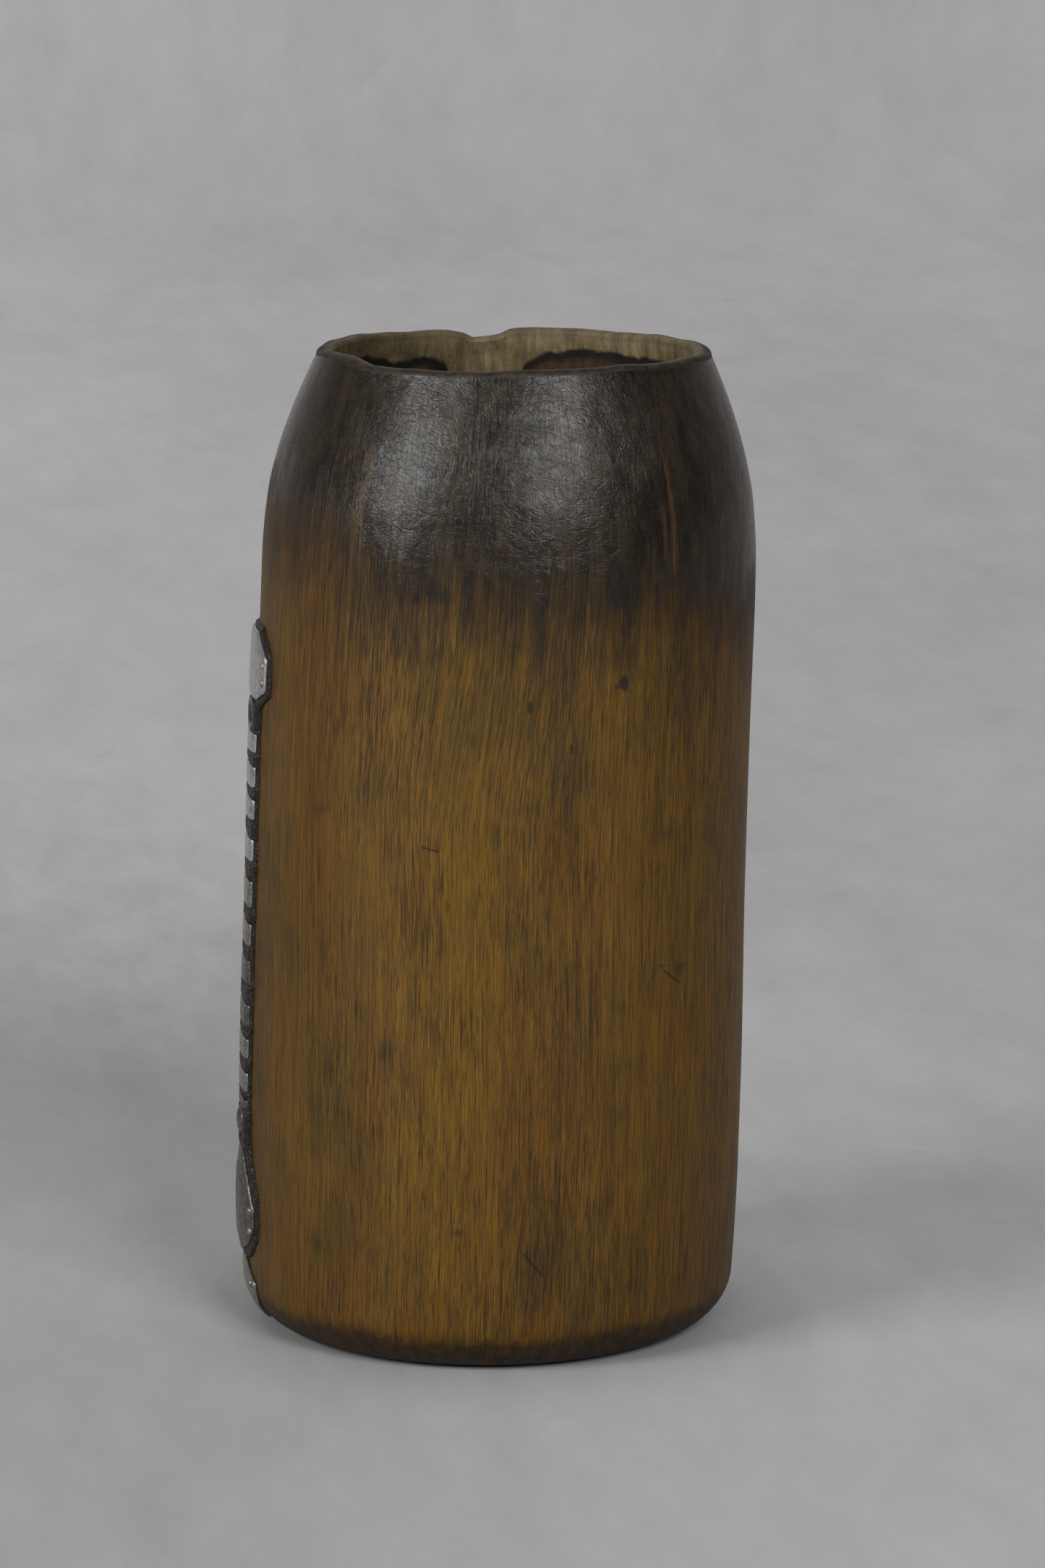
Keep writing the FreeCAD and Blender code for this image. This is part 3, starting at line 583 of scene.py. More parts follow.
    def streak(x_deg, lo_z, hi_z, width, colour, amount):
        """A vertical streak in the crust, by angle and height."""
        nonlocal col
        a = on_wood_mm(x_deg, (lo_z + hi_z) / 2)
        d = g.vec("SUBTRACT", g.vec("ADD", p, g.vec("MULTIPLY", fine_w, (1.0, 1.0, 0.0))), a)
        along = g.math("ABSOLUTE", g.vec("DOT_PRODUCT", d, (0.0, 0.0, 1.0)))
        t_ = Vector((-math.sin(math.radians(x_deg)), math.cos(math.radians(x_deg)), 0.0))
        across = g.math("ABSOLUTE", g.vec("DOT_PRODUCT", d, tuple(t_)))
        out_ = g.vec("DOT_PRODUCT", d, (math.cos(math.radians(x_deg)), math.sin(math.radians(x_deg)), 0.0))
        keep = g.math("MULTIPLY", g.step(across, width, width * 0.3), g.step(along, (hi_z - lo_z) / 2, (hi_z - lo_z) / 2 * 0.55))
        keep = g.math("MULTIPLY", keep, g.step(out_, -30.0, -20.0))
        keep = g.math("MULTIPLY", keep, g.step(g.noise(g.vec("MULTIPLY", q, (0.9, 0.9, 0.12)), 2, 0.6), 0.34, 0.60, 0.0, amount))
        col = g.mix(keep, col, colour)

    streak(303.6, 190, 224, 1.3, (0.085, 0.047, 0.012, 1.0), 0.66)
    streak(301.0, 194, 208, 0.8, (0.080, 0.045, 0.012, 1.0), 0.5)
    streak(317.0, 184, 222, 4.2, (0.010, 0.0075, 0.006, 1.0), 0.9)
    streak(226.0, 190, 226, 3.0, (0.070, 0.045, 0.020, 1.0), 0.65)
    streak(196.0, 196, 222, 3.0, (0.066, 0.044, 0.022, 1.0), 0.6)
    streak(60.0, 188, 224, 2.6, (0.090, 0.052, 0.018, 1.0), 0.7)
    streak(130.0, 186, 214, 3.6, (0.012, 0.009, 0.007, 1.0), 0.8)

    # base band
    bd = g.math("ADD", shade, g.math("MULTIPLY", g.math("SUBTRACT", g.noise(g.vec("MULTIPLY", q, (0.5, 0.5, 0.25)), 3, 0.6), 0.5), 5.0))
    col = g.mix(g.step(bd, -1.0, 3.0, 0.0, 0.86), col, g.mix(g.step(g.noise(g.vscale(p, 0.4), 3, 0.6), 0.35, 0.65), (0.015, 0.0070, 0.0030, 1.0), (0.042, 0.0215, 0.0080, 1.0)))

    # painted shade: a thin dark line under the lip where it turns over
    lip_shadow_line = g.math("MULTIPLY", g.step(g.attr("under"), 3.2, 1.4), g.step(g.attr("under"), 0.2, 1.0))
    col = g.mix(g.math("MULTIPLY", lip_shadow_line, g.step(g.noise(g.vec("MULTIPLY", p, (0.12, 0.12, 0.12)), 2, 0.5), 0.35, 0.55, 0.15, 0.8)), col, (0.007, 0.0052, 0.004, 1.0))

    # inside: pale near the rim, a dark band, brown below
    ins = g.attr("inside")
    inner_band = g.math("ADD", g.attr("inner_band"), g.math("MULTIPLY", g.math("SUBTRACT", g.noise(g.vec("MULTIPLY", p, (0.30, 0.30, 0.22)), 3, 0.6), 0.5), 2.2))
    run = g.noise(g.vec("MULTIPLY", p, (0.42, 0.42, 0.13)), 4, 0.62)
    pale = g.ramp(run, [(0.30, (0.095, 0.072, 0.034)), (0.50, (0.155, 0.123, 0.060)), (0.70, (0.225, 0.184, 0.098))])
    # painted shade: the inner wall is darkened towards 215 degrees, the side that gets less light, with patchy grime on
    # top
    grime_and_shade = g.noise(g.vec("MULTIPLY", p, (0.11, 0.11, 0.08)), 3, 0.6)
    grime_and_shade = g.math("ADD", g.math("MULTIPLY", g.attr("shaded_side"), 1.1), g.math("MULTIPLY", g.math("SUBTRACT", grime_and_shade, 0.5), 1.6))
    pale = g.mix(g.step(grime_and_shade, 0.10, 0.95, 0.0, 0.82), pale, g.mix(1.0, pale, (0.40, 0.37, 0.36, 1.0), "MULTIPLY"))
    pale = g.mix(g.math("MULTIPLY", pore_mask, 0.4), pale, (0.045, 0.030, 0.016, 1.0))
    deep = g.ramp(run, [(0.30, (0.020, 0.012, 0.007)), (0.70, (0.070, 0.040, 0.020))])
    inner_col = g.mix(g.step(inner_band, 1.2, 3.4), (0.010, 0.0085, 0.0065, 1.0), deep)
    inner_col = g.mix(g.step(inner_band, -0.7, 0.5), pale, inner_col)
    top_edge = g.step(g.attr("below"), 2.2, 0.4, 0.0, 0.40)
    inner_col = g.mix(top_edge, inner_col, (0.060, 0.043, 0.024, 1.0))
    col = g.mix(g.step(ins, 0.05, 0.9), col, inner_col)

    # lip: rubbed brown along its top
    lipf = g.attr("lip")
    rub = g.noise(g.vec("MULTIPLY", p, (0.35, 0.35, 0.6)), 3, 0.6)
    lip_col = g.mix(g.step(rub, 0.36, 0.64), (0.010, 0.0066, 0.0034, 1.0), (0.036, 0.024, 0.0100, 1.0))
    col = g.mix(g.math("MULTIPLY", g.step(lipf, 0.1, 0.9, 0.0, 0.95), g.step(ins, 0.95, 0.35)), col, lip_col)

    # relief
    grain_h = g.math("SUBTRACT", g.math("MULTIPLY", fine, 0.5), g.math("ADD", g.math("MULTIPLY", pore_mask, 0.45), g.math("MULTIPLY", big_mask, 0.6)))
    grain_h = g.math("MULTIPLY", grain_h, g.step(black, 0.95, 0.2, 0.25, 1.0))
    n1 = g.bump(grain_h, 0.00010, 0.8)
    swirl = g.vec("ADD", p, g.vscale(g.vec("SUBTRACT", g.noise(g.vscale(p, 0.15), 2, 0.5, color=True), (0.5, 0.5, 0.5)), 4.5))
    tilt = g.nt.nodes.new("ShaderNodeVectorRotate")
    tilt.rotation_type = "Y_AXIS"
    g.put(tilt.inputs["Vector"], swirl)
    tilt.inputs["Angle"].default_value = math.radians(-24)
    leather_n = g.noise(g.vec("MULTIPLY", tilt.outputs[0], (1.0, 1.0, 2.9)), 3, 0.6)
    lumps = g.noise(g.vscale(p, 0.13), 2, 0.5)
    creases = g.voronoi(g.vec("MULTIPLY", tilt.outputs[0], (0.30, 0.30, 0.62)), "DISTANCE_TO_EDGE")
    hide_h = g.math("ADD", g.math("MULTIPLY", leather_n, 0.36), g.math("MULTIPLY", lumps, 1.3))
    hide_h = g.math("ADD", hide_h, g.math("MULTIPLY", g.step(creases, 0.0, 0.10), 0.10))
    hide_h = g.math("MULTIPLY", hide_h, black)
    n2 = g.bump(hide_h, 0.00028, 0.9, n1)
    rough = g.mix(black, g.line(fine, 0.3, 0.7, 0.60, 0.50), g.line(leather_n, 0.3, 0.7, 0.31, 0.235))
    rough = g.mix(g.step(ins, 0.3, 0.7), rough, (0.72, 0.72, 0.72, 1.0))
    rough = g.mix(g.step(lipf, 0.25, 0.75), rough, (0.62, 0.62, 0.62, 1.0))
    return g.finish(col, rough, n2, **{"Specular IOR Level": 0.38})


vessel.data.materials.append(wood_material())
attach(vessel, "root")
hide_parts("vessel")


# ================================================================ strip and metal, laid on the wood on the -X side
def lay(y, z, h):
    """Row-frame points from y across the strip, row height z and height h off the wood, on the -X side."""
    y, z, h = np.broadcast_arrays(np.asarray(y, float), np.asarray(z, float), np.asarray(h, float))
    th = math.pi - np.arcsin(np.clip(y / 61.0, -1, 1))
    zz = place(np.full_like(_fine_t, math.pi), _fine_r, _fine_s)[:, 2]
    t = np.interp(z, zz, _fine_t)
    return on_wood(th, t, h)


def wobble(n, seed, terms=(3, 5, 8, 13)):
    rng = np.random.default_rng(seed)
    a = np.arange(n) * 2 * math.pi / n
    return sum(rng.uniform(0.3, 1.0) / (k / 3) * np.sin(a * k + rng.uniform(0, 6.28)) for k in terms)


def dense(points, step, corner=0.0):
    """Points along a closed outline about step apart, with each corner cut round by corner mm."""
    pts = [np.array(p, float) for p in points]
    if corner:
        cut = []
        n = len(pts)
        for i in range(n):
            a, b, c = pts[i - 1], pts[i], pts[(i + 1) % n]
            u, w = (a - b) / np.linalg.norm(a - b), (c - b) / np.linalg.norm(c - b)
            r = min(corner, 0.45 * np.linalg.norm(a - b), 0.45 * np.linalg.norm(c - b))
            for k in np.linspace(0, 1, 6):
                cut.append((1 - k) ** 2 * (b + u * r) + 2 * k * (1 - k) * b + k * k * (b + w * r))
        pts = cut
    out = []
    for i in range(len(pts)):
        a, b = pts[i], pts[(i + 1) % len(pts)]
        m = max(1, int(np.linalg.norm(b - a) / step))
        for k in range(m):
            out.append(a + (b - a) * k / m)
    return np.array(out)


def plate(name, outline, section, centre=None, seed=1, uneven=0.12, dish=None, step=0.7):
    """A thin sheet-metal piece. section is (fraction of the way in from the edge, height off the wood) from its outer lower edge inwards."""
    o = dense(outline, step, 1.0)
    n = len(o)
    c = np.array(centre if centre is not None else o.mean(0))
    d = o - c
    o = o + d / np.linalg.norm(d, axis=1)[:, None] * (wobble(n, seed) * uneven)[:, None]
    verts = []
    for f, h in section:
        ring = c + (o - c) * (1 - f)
        hh = np.full(n, float(h))
        if dish is not None:
            hh = hh + dish(ring[:, 0], ring[:, 1], f)
        verts.append(lay(ring[:, 0], ring[:, 1], hh))
    m = len(verts)
    mid_h = section[-1][1] + (float(dish(np.array([c[0]]), np.array([c[1]]), 1.0)[0]) if dish is not None else 0.0)
    v_ = np.vstack([np.concatenate(verts), lay(c[0], c[1], mid_h)[None]])
    f_ = [tuple(reversed(q)) for q in grid_faces(m, n, True)]
    last = (m - 1) * n
    f_ += [(last + j, m * n, last + (j + 1) % n) for j in range(n)]
    f_ += [tuple(range(n))]
    ob = mesh_object(name, v_, f_)
    return ob


def orient(ob):
    import bmesh

    bm = bmesh.new()
    bm.from_mesh(ob.data)
    bmesh.ops.recalc_face_normals(bm, faces=bm.faces)
    bm.to_mesh(ob.data)
    bm.free()
    return ob


LEATHER_H, METAL_H = 1.0, 1.6
CLEATS = [(145.6, 4.6), (137.5, 5.1), (129.4, 4.9), (119.3, 5.4), (108.5, 6.5), (98.5, 5.5), (89.0, 5.6), (78.3, 5.3), (70.1, 4.9), (61.6, 4.7), (56.2, 2.2)]


# leather: half width up the strip
HALF = monotone(
    [17.0, 18.2, 21.0, 24.5, 29.0, 33.5, 38.0, 42.0, 46.5, 50.0, 100.0, 150.0, 154.5, 156.5, 158.5, 162.0, 167.5, 170.5, 173.0, 174.6],
    [4.6, 9.0, 12.6, 15.2, 15.7, 15.5, 13.0, 10.6, 8.7, 8.5, 8.5, 8.5, 8.7, 11.5, 15.2, 15.7, 15.6, 12.8, 9.4, 6.6],
)


def leather_height(y, z):
    """Leather swells up between the cleats and is pressed down under them."""
    h = np.full_like(z, 1.62)
    for c, tall in CLEATS:
        h = np.where(np.abs(z - c) < tall / 2 + 0.9, np.minimum(h, 0.95 + 0.67 * smooth(tall / 2 - 0.2, tall / 2 + 0.9, np.abs(z - c))), h)
    for z0, z1 in ((155.6, 175.5), (17.0, 45.0)):
        h = np.where((z > z0) & (z < z1), 0.98, h)
    h = np.where(np.hypot(y, z - 51.0) < 4.4, 0.95, h)
    return h


def build_leather():
    zs = [17.0 + 0.02]
    z = 17.02
    while z < 174.6:
        z += 0.55
        zs.append(min(z, 174.58))
    zs = np.array(zs)
    us = np.concatenate([[-1.0, -0.995], np.linspace(-0.97, 0.97, 31), [0.995, 1.0]])
    m, n = len(zs), len(us)
    Z, U = np.meshgrid(zs, us, indexing="ij")
    half_w = HALF(Z) + 0.16 * ring_noise(np.where(U > 0, 1.0, 4.0), Z, 9, 3.0, 51) + 0.10 * ring_noise(np.where(U > 0, 1.3, 4.4), Z, 9, 1.3, 52)
    Y = U * half_w
    top = leather_height(Y, Z)
    edge_d = (1 - np.abs(U)) * half_w
    end_d = np.minimum(Z - 17.0, 174.6 - Z)
    rounding = smooth(0.0, 0.9, np.minimum(edge_d, end_d))
    bumps = 0.10 * ring_noise(Y / 8.0 + 3.0, Z, 24, 1.9, 53) + 0.07 * ring_noise(Y / 5.0 + 3.0, Z, 40, 1.1, 54)
    H = 0.05 + (top + bumps * (top > 1.05) - 0.05) * rounding**0.5
    upper = lay(Y, Z, H).reshape(-1, 3)
    lower = lay(Y, Z, np.full_like(H, -0.25)).reshape(-1, 3)
    f = grid_faces(m, n, False)
    k = m * n
    f += [tuple(i + k for i in reversed(q)) for q in grid_faces(m, n, False)]
    rim_ids = [j for j in range(n)] + [i * n + n - 1 for i in range(1, m)] + [(m - 1) * n + j for j in range(n - 2, -1, -1)] + [i * n for i in range(m - 2, 0, -1)]
    for a, b in zip(rim_ids, rim_ids[1:] + rim_ids[:1]):
        f.append((a, a + k, b + k, b))
    return orient(mesh_object("strip_leather", np.vstack([upper, lower]), f))


def leather_material():
    g = G("dark_leather")
    p = g.mm
    n = g.noise(g.vscale(p, 0.8), 4, 0.6)
    crack = g.voronoi(g.vec("ADD", g.vscale(p, 1.1), g.vscale(g.noise(g.vscale(p, 0.7), 2, 0.5, color=True), 0.8)), "DISTANCE_TO_EDGE")
    col = g.ramp(n, [(0.30, lin(26, 22, 19)), (0.52, lin(44, 38, 32)), (0.72, lin(70, 60, 48))])
    col = g.mix(g.step(crack, 0.10, 0.0, 0.0, 0.6), col, lin(16, 13, 11))
    h = g.math("ADD", g.math("MULTIPLY", n, 0.6), g.math("MULTIPLY", g.step(crack, 0.0, 0.16), 0.5))
    return g.finish(col, g.line(n, 0.3, 0.7, 0.62, 0.46), g.bump(h, 0.00035, 0.9), **{"Specular IOR Level": 0.35})


def metal_material(name, light, mid, dark, seed, rough=(0.30, 0.46)):
    g = G(name)
    p = g.vec("ADD", g.mm, (seed * 13.0, seed * 7.0, seed * 3.0))
    dents = g.noise(g.vscale(p, 0.32), 2, 0.5)
    grit = g.noise(g.vscale(p, 1.6), 4, 0.65)
    scr = g.noise(g.vec("MULTIPLY", p, (0.8, 5.0, 0.5)), 2, 0.6)
    col = g.ramp(grit, [(0.28, dark), (0.46, mid), (0.64, light)])
    col = g.mix(g.step(g.noise(g.vscale(p, 0.45), 3, 0.6), 0.50, 0.72, 0.0, 0.55), col, dark)
    h = g.math("ADD", g.math("MULTIPLY", dents, 1.0), g.math("ADD", g.math("MULTIPLY", grit, 0.10), g.math("MULTIPLY", scr, 0.05)))
    r = g.line(grit, 0.3, 0.7, rough[1], rough[0])
    return g.finish(col, r, g.bump(h, 0.00055, 0.7), **{"Metallic": 1.0})


leather = build_leather()
leather.data.materials.append(leather_material())
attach(leather, "root")
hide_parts("leather_strip")

GREY = metal_material("beaten_grey_metal", (0.37, 0.37, 0.35), (0.26, 0.26, 0.24), (0.09, 0.085, 0.07), 1)
PALE = metal_material("beaten_pale_metal", (0.58, 0.58, 0.56), (0.44, 0.44, 0.425), (0.17, 0.165, 0.15), 2)
# darkest metal: a dull finish on the low plate, ring and some bars, and painted shade on the low stud
DULL_AND_SHADE = metal_material("beaten_dull_metal_and_shade", (0.24, 0.235, 0.21), (0.15, 0.147, 0.13), (0.055, 0.05, 0.04), 3, (0.34, 0.52))
BRASS = metal_material("worn_brass", (0.50, 0.43, 0.24), (0.36, 0.31, 0.17), (0.12, 0.10, 0.06), 4, (0.28, 0.44))


def show(ob, node, material):
    orient(ob)
    ob.data.materials.append(material)
    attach(ob, "root")
    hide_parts(node)
    return ob


# plates
hexagon = [(-7.2, 156.6), (-14.3, 159.4), (-14.4, 167.4), (-6.4, 173.2), (6.4, 173.4), (14.4, 167.2), (14.2, 159.2), (7.4, 156.4)]
show(
    plate("plate_top", hexagon, [(0.0, 0.80), (0.0, 1.30), (0.012, 1.52), (0.03, 1.64), (0.16, 1.78), (0.24, 1.92), (0.5, 1.98), (0.8, 2.0)], (0, 164.8), 11),
    "top_plate",
    PALE,
)
leaf = [(-2.6, 18.6), (-9.8, 21.6), (-14.4, 26.0), (-14.3, 31.4), (-10.6, 37.0), (-3.4, 44.4), (3.2, 44.6), (10.8, 37.2), (14.4, 31.6), (14.3, 25.8), (9.8, 21.4), (2.4, 18.4)]
show(
    plate("plate_low", leaf, [(0.0, 0.80), (0.0, 1.25), (0.015, 1.46), (0.035, 1.56), (0.30, 2.05), (0.34, 2.22), (0.6, 2.36), (0.85, 2.40)], (0, 29.6), 12),
    "low_plate",
    DULL_AND_SHADE,
)
foot_pts = [(-7.4, 2.3), (-11.0, 6.5), (-12.3, 12.3), (-4.2, 16.7), (4.0, 16.8), (12.3, 12.6), (11.0, 6.4), (7.6, 2.2)]
show(
    plate("plate_foot", foot_pts, [(0.0, -0.15), (0.0, 0.40), (0.012, 0.62), (0.04, 0.76), (0.35, 0.92), (0.8, 0.98)], (0, 10.0), 13),
    "foot_plate",
    GREY,
)

# cleats
for i, (z, tall) in enumerate(CLEATS):
    rng = np.random.default_rng(100 + i)
    a = rng.uniform(-0.25, 0.25, 4)
    skew = rng.uniform(-0.25, 0.25)
    hy = 7.9
    shape = [(-hy + a[0], z - tall / 2 + skew), (-hy - a[0], z + tall / 2 + skew), (hy + a[1], z + tall / 2 - skew), (hy - a[1], z - tall / 2 - skew)]

    def bent(y, zz, f, hy=hy):
        return -0.95 * smooth(hy - 1.5, hy + 0.1, np.abs(y))

    ob = plate(
        "bar_%02d" % (i + 1),
        shape,
        [(0.0, 0.85), (0.0, 1.36), (0.03, 1.56), (0.08, 1.66), (0.30, 1.74), (0.6, 1.78), (0.85, 1.79)],
        (0, z),
        200 + i,
        0.10,
        dish=bent,
        step=0.45,
    )
    show(ob, "cleat_%02d" % (i + 1), [PALE, PALE, PALE, PALE, GREY, GREY, DULL_AND_SHADE, DULL_AND_SHADE, GREY, GREY, DULL_AND_SHADE][i])


# oval ring above the cleats
def build_ring():
    n, m = 72, 12
    rows = []
    for j in range(m):
        b = 2 * math.pi * j / m
        rr, hh = math.cos(b) * 0.78, math.sin(b) * 0.55
        a = np.arange(n) * 2 * math.pi / n
        rows.append(lay((5.85 + rr) * np.cos(a), 152.2 + (2.95 + rr) * np.sin(a), 1.28 + hh + 0.05 * wobble(n, 31)))
    v_ = np.concatenate(rows)
    f_ = grid_faces(m, n, True)
    f_ += [((m - 1) * n + j, (m - 1) * n + (j + 1) % n, (j + 1) % n, j) for j in range(n)]
    return mesh_object("ring_oval", v_, f_)


show(build_ring(), "oval_ring", DULL_AND_SHADE)


def dome(name, y0, z0, rad, base_h, rise, n=36, m=9, flange=0.0):
    rows = []
    a = np.arange(n) * 2 * math.pi / n
    w = wobble(n, int(z0 * 10) % 97)
    for j in range(m):
        f = j / (m - 1)
        rr = rad * math.cos(f * math.pi / 2 * 0.97)
        hh = base_h + rise * math.sin(f * math.pi / 2) ** 0.9
        rows.append(lay(y0 + (rr + 0.02 * rad * w * (1 - f)) * np.cos(a), z0 + (rr + 0.02 * rad * w * (1 - f)) * np.sin(a), np.full(n, hh)))
    skirt = lay(y0 + rad * np.cos(a), z0 + rad * np.sin(a), np.full(n, base_h - 0.3))
    v_ = np.vstack([skirt] + rows + [lay(y0, z0, base_h + rise)[None]])
    f_ = grid_faces(m + 1, n, True)
    last = m * n
    f_ += [(last + j, last + (j + 1) % n, (m + 1) * n) for j in range(n)]
    f_ += [tuple(reversed(range(n)))]
    return v_, f_


# painted shade: the low stud is silver seen in shade, given the darkest metal colour
v_, f_ = dome("stud", 0.0, 51.0, 3.5, 0.95, 1.5, 48, 12)
show(mesh_object("stud_low", v_, f_), "low_stud", DULL_AND_SHADE)
PINS = {
    "top_plate_pins": [(12.7, 165.8), (12.7, 161.6), (-12.7, 165.8), (-12.7, 161.6)],
    "low_plate_pins": [(12.6, 31.0), (12.6, 25.8), (-12.6, 31.0), (-12.6, 25.8)],
    "foot_plate_pins": [(9.4, 11.6), (-9.4, 11.6)],
}
for node, places in PINS.items():
    vs, fs = [], []
    base = 0.72 if node.startswith("foot") else 1.60
    for y0, z0 in places:
        a, b = dome(node, y0, z0, 0.95, base, 0.55, 20, 6)
        k = sum(len(x) for x in vs)
        vs.append(a)
        fs += [tuple(i + k for i in q) for q in b]
    show(mesh_object(node.replace("_plate_pins", "_pins"), np.vstack(vs), fs), node, BRASS)

# ================================================================ floor, light and camera
TURN = math.radians(-7.0)  # from the viewer's frame to the row frame, about +Z


def turned(v_):
    return Matrix.Rotation(TURN, 3, "Z") @ Vector(v_)


def build_floor():
    """One sheet: level under the vessel, curving up far behind it."""
    rows = []
    for d in np.concatenate([np.linspace(-3.2, 2.4, 15), [2.6, 2.8]]):
        rows.append((d, 0.0))
    for a in np.linspace(0, math.pi / 2, 16)[1:]:
        rows.append((2.8 + 0.9 * math.sin(a), 0.9 - 0.9 * math.cos(a)))
    rows.append((3.7, 3.2))
    xs = np.linspace(-3.6, 3.6, 9)
    v_, f_ = [], []
    for d, h in rows:
        for x in xs:
            q = turned((x, d, h))
            v_.append(tuple(q * 1000))
    f_ = [tuple(q) for q in grid_faces(len(rows), len(xs), False)]
    ob = mesh_object("floor_sheet", np.array(v_), f_)
    g = G("pale_floor")
    xyz = g.nt.nodes.new("ShaderNodeSeparateXYZ")
    g.put(xyz.inputs[0], g.vscale(g.mm, 0.001))
    depth = g.math("MAXIMUM", g.math("ADD", xyz.outputs[1], g.math("ADD", g.math("MULTIPLY", xyz.outputs[2], 0.9), 1.55)), 0.35)
    # mottling that grows with the distance from the vessel
    comb = g.nt.nodes.new("ShaderNodeCombineXYZ")
    g.put(comb.inputs[0], xyz.outputs[0])
    g.put(comb.inputs[1], g.math("MULTIPLY", g.math("ADD", xyz.outputs[1], g.math("MULTIPLY", xyz.outputs[2], 0.9)), 0.33))
    far_off = g.math("MAXIMUM", g.vec("LENGTH", comb.outputs[0]), 0.001)
    shrink = g.math("DIVIDE", g.math("LOGARITHM", g.math("ADD", g.math("DIVIDE", far_off, 0.6), 1.0), math.e), g.math("MULTIPLY", far_off, 0.35))
    w = g.vscale(comb.outputs[0], shrink)
    big = g.noise(g.vscale(w, 1.9), 4, 0.62)
    small = g.noise(g.vscale(w, 11.5), 4, 0.72)
    mixed = g.math("ADD", g.math("MULTIPLY", big, 0.58), g.math("MULTIPLY", small, 0.42))
    near = g.ramp(mixed, [(0.36, (0.435, 0.430, 0.426)), (0.64, (0.565, 0.562, 0.558))])
    far = g.ramp(mixed, [(0.36, (0.58, 0.566, 0.568)), (0.64, (0.75, 0.733, 0.737))])
    # painted shadow: the near floor is darker on the left and a little lighter on the right
    near = g.mix(1.0, near, g.mix(g.step(xyz.outputs[0], -0.12, 0.12), (0.88, 0.87, 0.86, 1.0), (1.05, 1.05, 1.05, 1.0)), "MULTIPLY")
    # the far sheet is darker towards the right
    far = g.mix(1.0, far, g.mix(g.step(xyz.outputs[0], -0.12, 0.22), (1.03, 1.02, 1.02, 1.0), (0.84, 0.83, 0.83, 1.0)), "MULTIPLY")
    col = g.mix(g.step(g.math("ADD", depth, g.math("MULTIPLY", small, 0.3)), 1.9, 2.5), near, far)
    wisps = g.noise(g.vec("MULTIPLY", g.vec("ADD", w, g.vscale(g.noise(g.vscale(w, 3.0), 2, 0.5, color=True), 0.3)), (7.0, 16.0, 1.0)), 2, 0.6)
    col = g.mix(g.step(wisps, 0.69, 0.76, 0.0, 0.14), col, (0.80, 0.80, 0.80, 1.0))
    col = g.mix(g.step(wisps, 0.29, 0.22, 0.0, 0.14), col, (0.25, 0.25, 0.25, 1.0))
    # painted contact shadow: the sheet is darkened close round the foot
    contact_shadow_reach = g.vec("LENGTH", g.vec("MULTIPLY", g.mm, (0.001, 0.001, 0.0)))
    col = g.mix(g.step(contact_shadow_reach, 0.095, 0.050, 0.0, 0.50), col, g.mix(1.0, col, (0.55, 0.55, 0.55, 1.0), "MULTIPLY"))
    ob.data.materials.append(g.finish(col, g.line(small, 0.3, 0.7, 0.82, 0.92), None, **{"Specular IOR Level": 0.2}))
    return ob


floor = build_floor()

world = bpy.data.worlds.new("studio")
scene.world = world
world.use_nodes = True


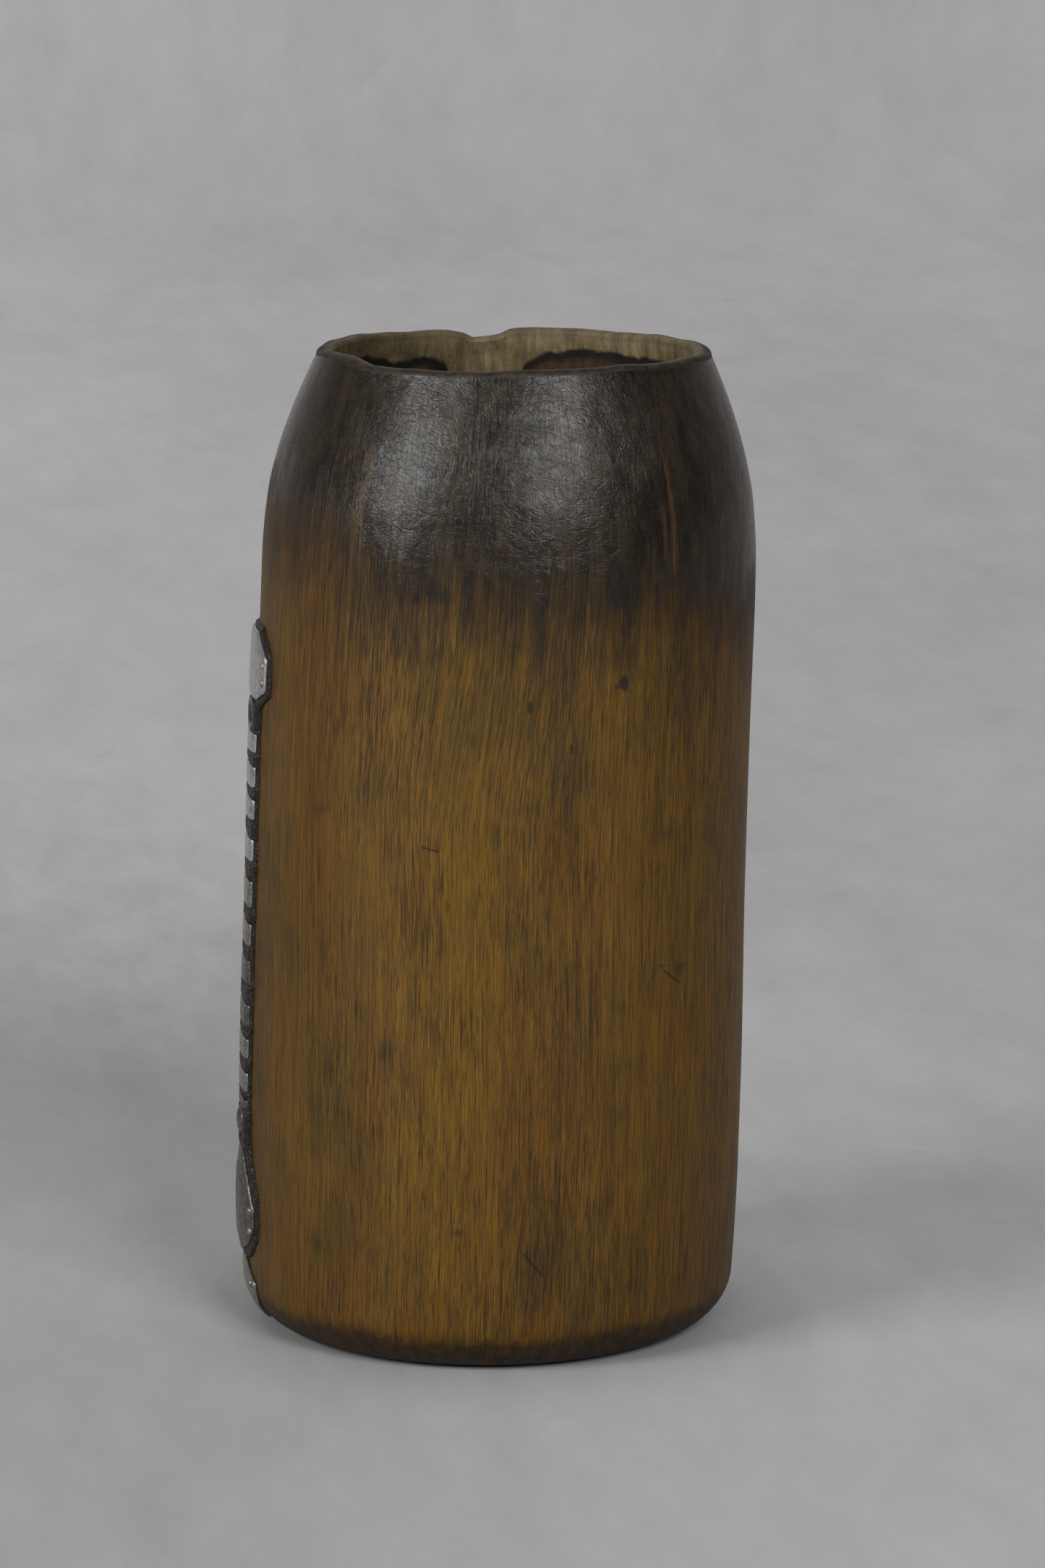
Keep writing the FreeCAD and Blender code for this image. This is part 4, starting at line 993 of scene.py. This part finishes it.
def build_world():
    """A dim room on the viewer's side, paler behind and above; plain grey where it is seen directly."""
    nt = world.node_tree
    nt.nodes.clear()
    out = nt.nodes.new("ShaderNodeOutputWorld")
    room, seen, pick = nt.nodes.new("ShaderNodeBackground"), nt.nodes.new("ShaderNodeBackground"), nt.nodes.new("ShaderNodeMixShader")
    seen.inputs[0].default_value = (0.43, 0.425, 0.43, 1.0)
    path = nt.nodes.new("ShaderNodeLightPath")
    nt.links.new(path.outputs["Is Camera Ray"], pick.inputs[0])
    nt.links.new(room.outputs[0], pick.inputs[1])
    nt.links.new(seen.outputs[0], pick.inputs[2])
    nt.links.new(pick.outputs[0], out.inputs[0])
    co = nt.nodes.new("ShaderNodeTexCoord")

    def along(direction, lo, hi):
        dot = nt.nodes.new("ShaderNodeVectorMath")
        dot.operation = "DOT_PRODUCT"
        nt.links.new(co.outputs["Generated"], dot.inputs[0])
        dot.inputs[1].default_value = direction
        m = nt.nodes.new("ShaderNodeMapRange")
        m.interpolation_type = "SMOOTHSTEP"
        nt.links.new(dot.outputs["Value"], m.inputs["Value"])
        m.inputs["From Min"].default_value, m.inputs["From Max"].default_value = lo, hi
        return m.outputs[0]

    def blend(f, a, b):
        m = nt.nodes.new("ShaderNodeMix")
        m.data_type = "RGBA"
        nt.links.new(f, m.inputs["Factor"])
        for key, x in (("A", a), ("B", b)):
            if isinstance(x, tuple):
                m.inputs[key].default_value = (*x, 1.0)
            else:
                nt.links.new(x, m.inputs[key])
        return m.outputs["Result"]

    back = tuple(Matrix.Rotation(TURN, 3, "Z") @ Vector((0.0, 1.0, 0.0)))
    flat = blend(along(back, -0.15, 0.75), (0.085, 0.086, 0.09), (0.30, 0.297, 0.30))
    sky = blend(along((0.0, 0.0, 1.0), 0.30, 0.85), flat, (0.20, 0.203, 0.21))
    nt.links.new(sky, room.inputs[0])


build_world()


def soft_box(name, az, el, dist, width, height, watts, colour=(1.0, 1.0, 1.0), target=(6.0, 0.0, 150.0)):
    """A soft light at azimuth az from +X and elevation el."""
    data = bpy.data.lights.new(name, "AREA")
    data.shape, data.size, data.size_y = "RECTANGLE", width, height
    data.energy, data.color = watts, colour
    ob = bpy.data.objects.new(name, data)
    scene.collection.objects.link(ob)
    a, e = math.radians(az), math.radians(el)
    d = Vector((math.cos(a) * math.cos(e), math.sin(a) * math.cos(e), math.sin(e)))
    at = Vector(target) * MM
    ob.location = at + d * dist
    ob.rotation_mode = "QUATERNION"
    ob.rotation_quaternion = d.to_track_quat("Z", "Y")
    return ob


soft_box("soft_left", 209, 24, 3.0, 1.30, 1.30, 62, (0.965, 0.985, 1.0))
soft_box("soft_right", 289, 29, 3.0, 1.30, 1.30, 57, (0.965, 0.985, 1.0))
wash = soft_box("backdrop_wash", 83, 40, 2.6, 3.2, 1.2, 27, (1.0, 0.98, 0.985))
wash.location = turned((0.0, 2.0, 2.3))
wash.rotation_quaternion = (Vector(wash.location) - turned((0.0, 3.2, 0.4))).to_track_quat("Z", "Y")

cam_data = bpy.data.cameras.new("camera")
cam_data.sensor_width = 36.0
cam_data.sensor_fit = "AUTO"
cam_data.lens = 8250.0 / 2168.0 * 36.0
cam_data.clip_start, cam_data.clip_end = 0.05, 50.0
cam = bpy.data.objects.new("camera", cam_data)
scene.collection.objects.link(cam)
PITCH, YAW = 0.18743, 0.00577
fwd = turned((math.sin(YAW) * math.cos(PITCH), math.cos(YAW) * math.cos(PITCH), -math.sin(PITCH)))
cam.location = turned((0.45 * MM, -1434.1 * MM, 405.2 * MM))
cam.rotation_mode = "QUATERNION"
cam.rotation_quaternion = fwd.to_track_quat("-Z", "Y")
scene.camera = cam
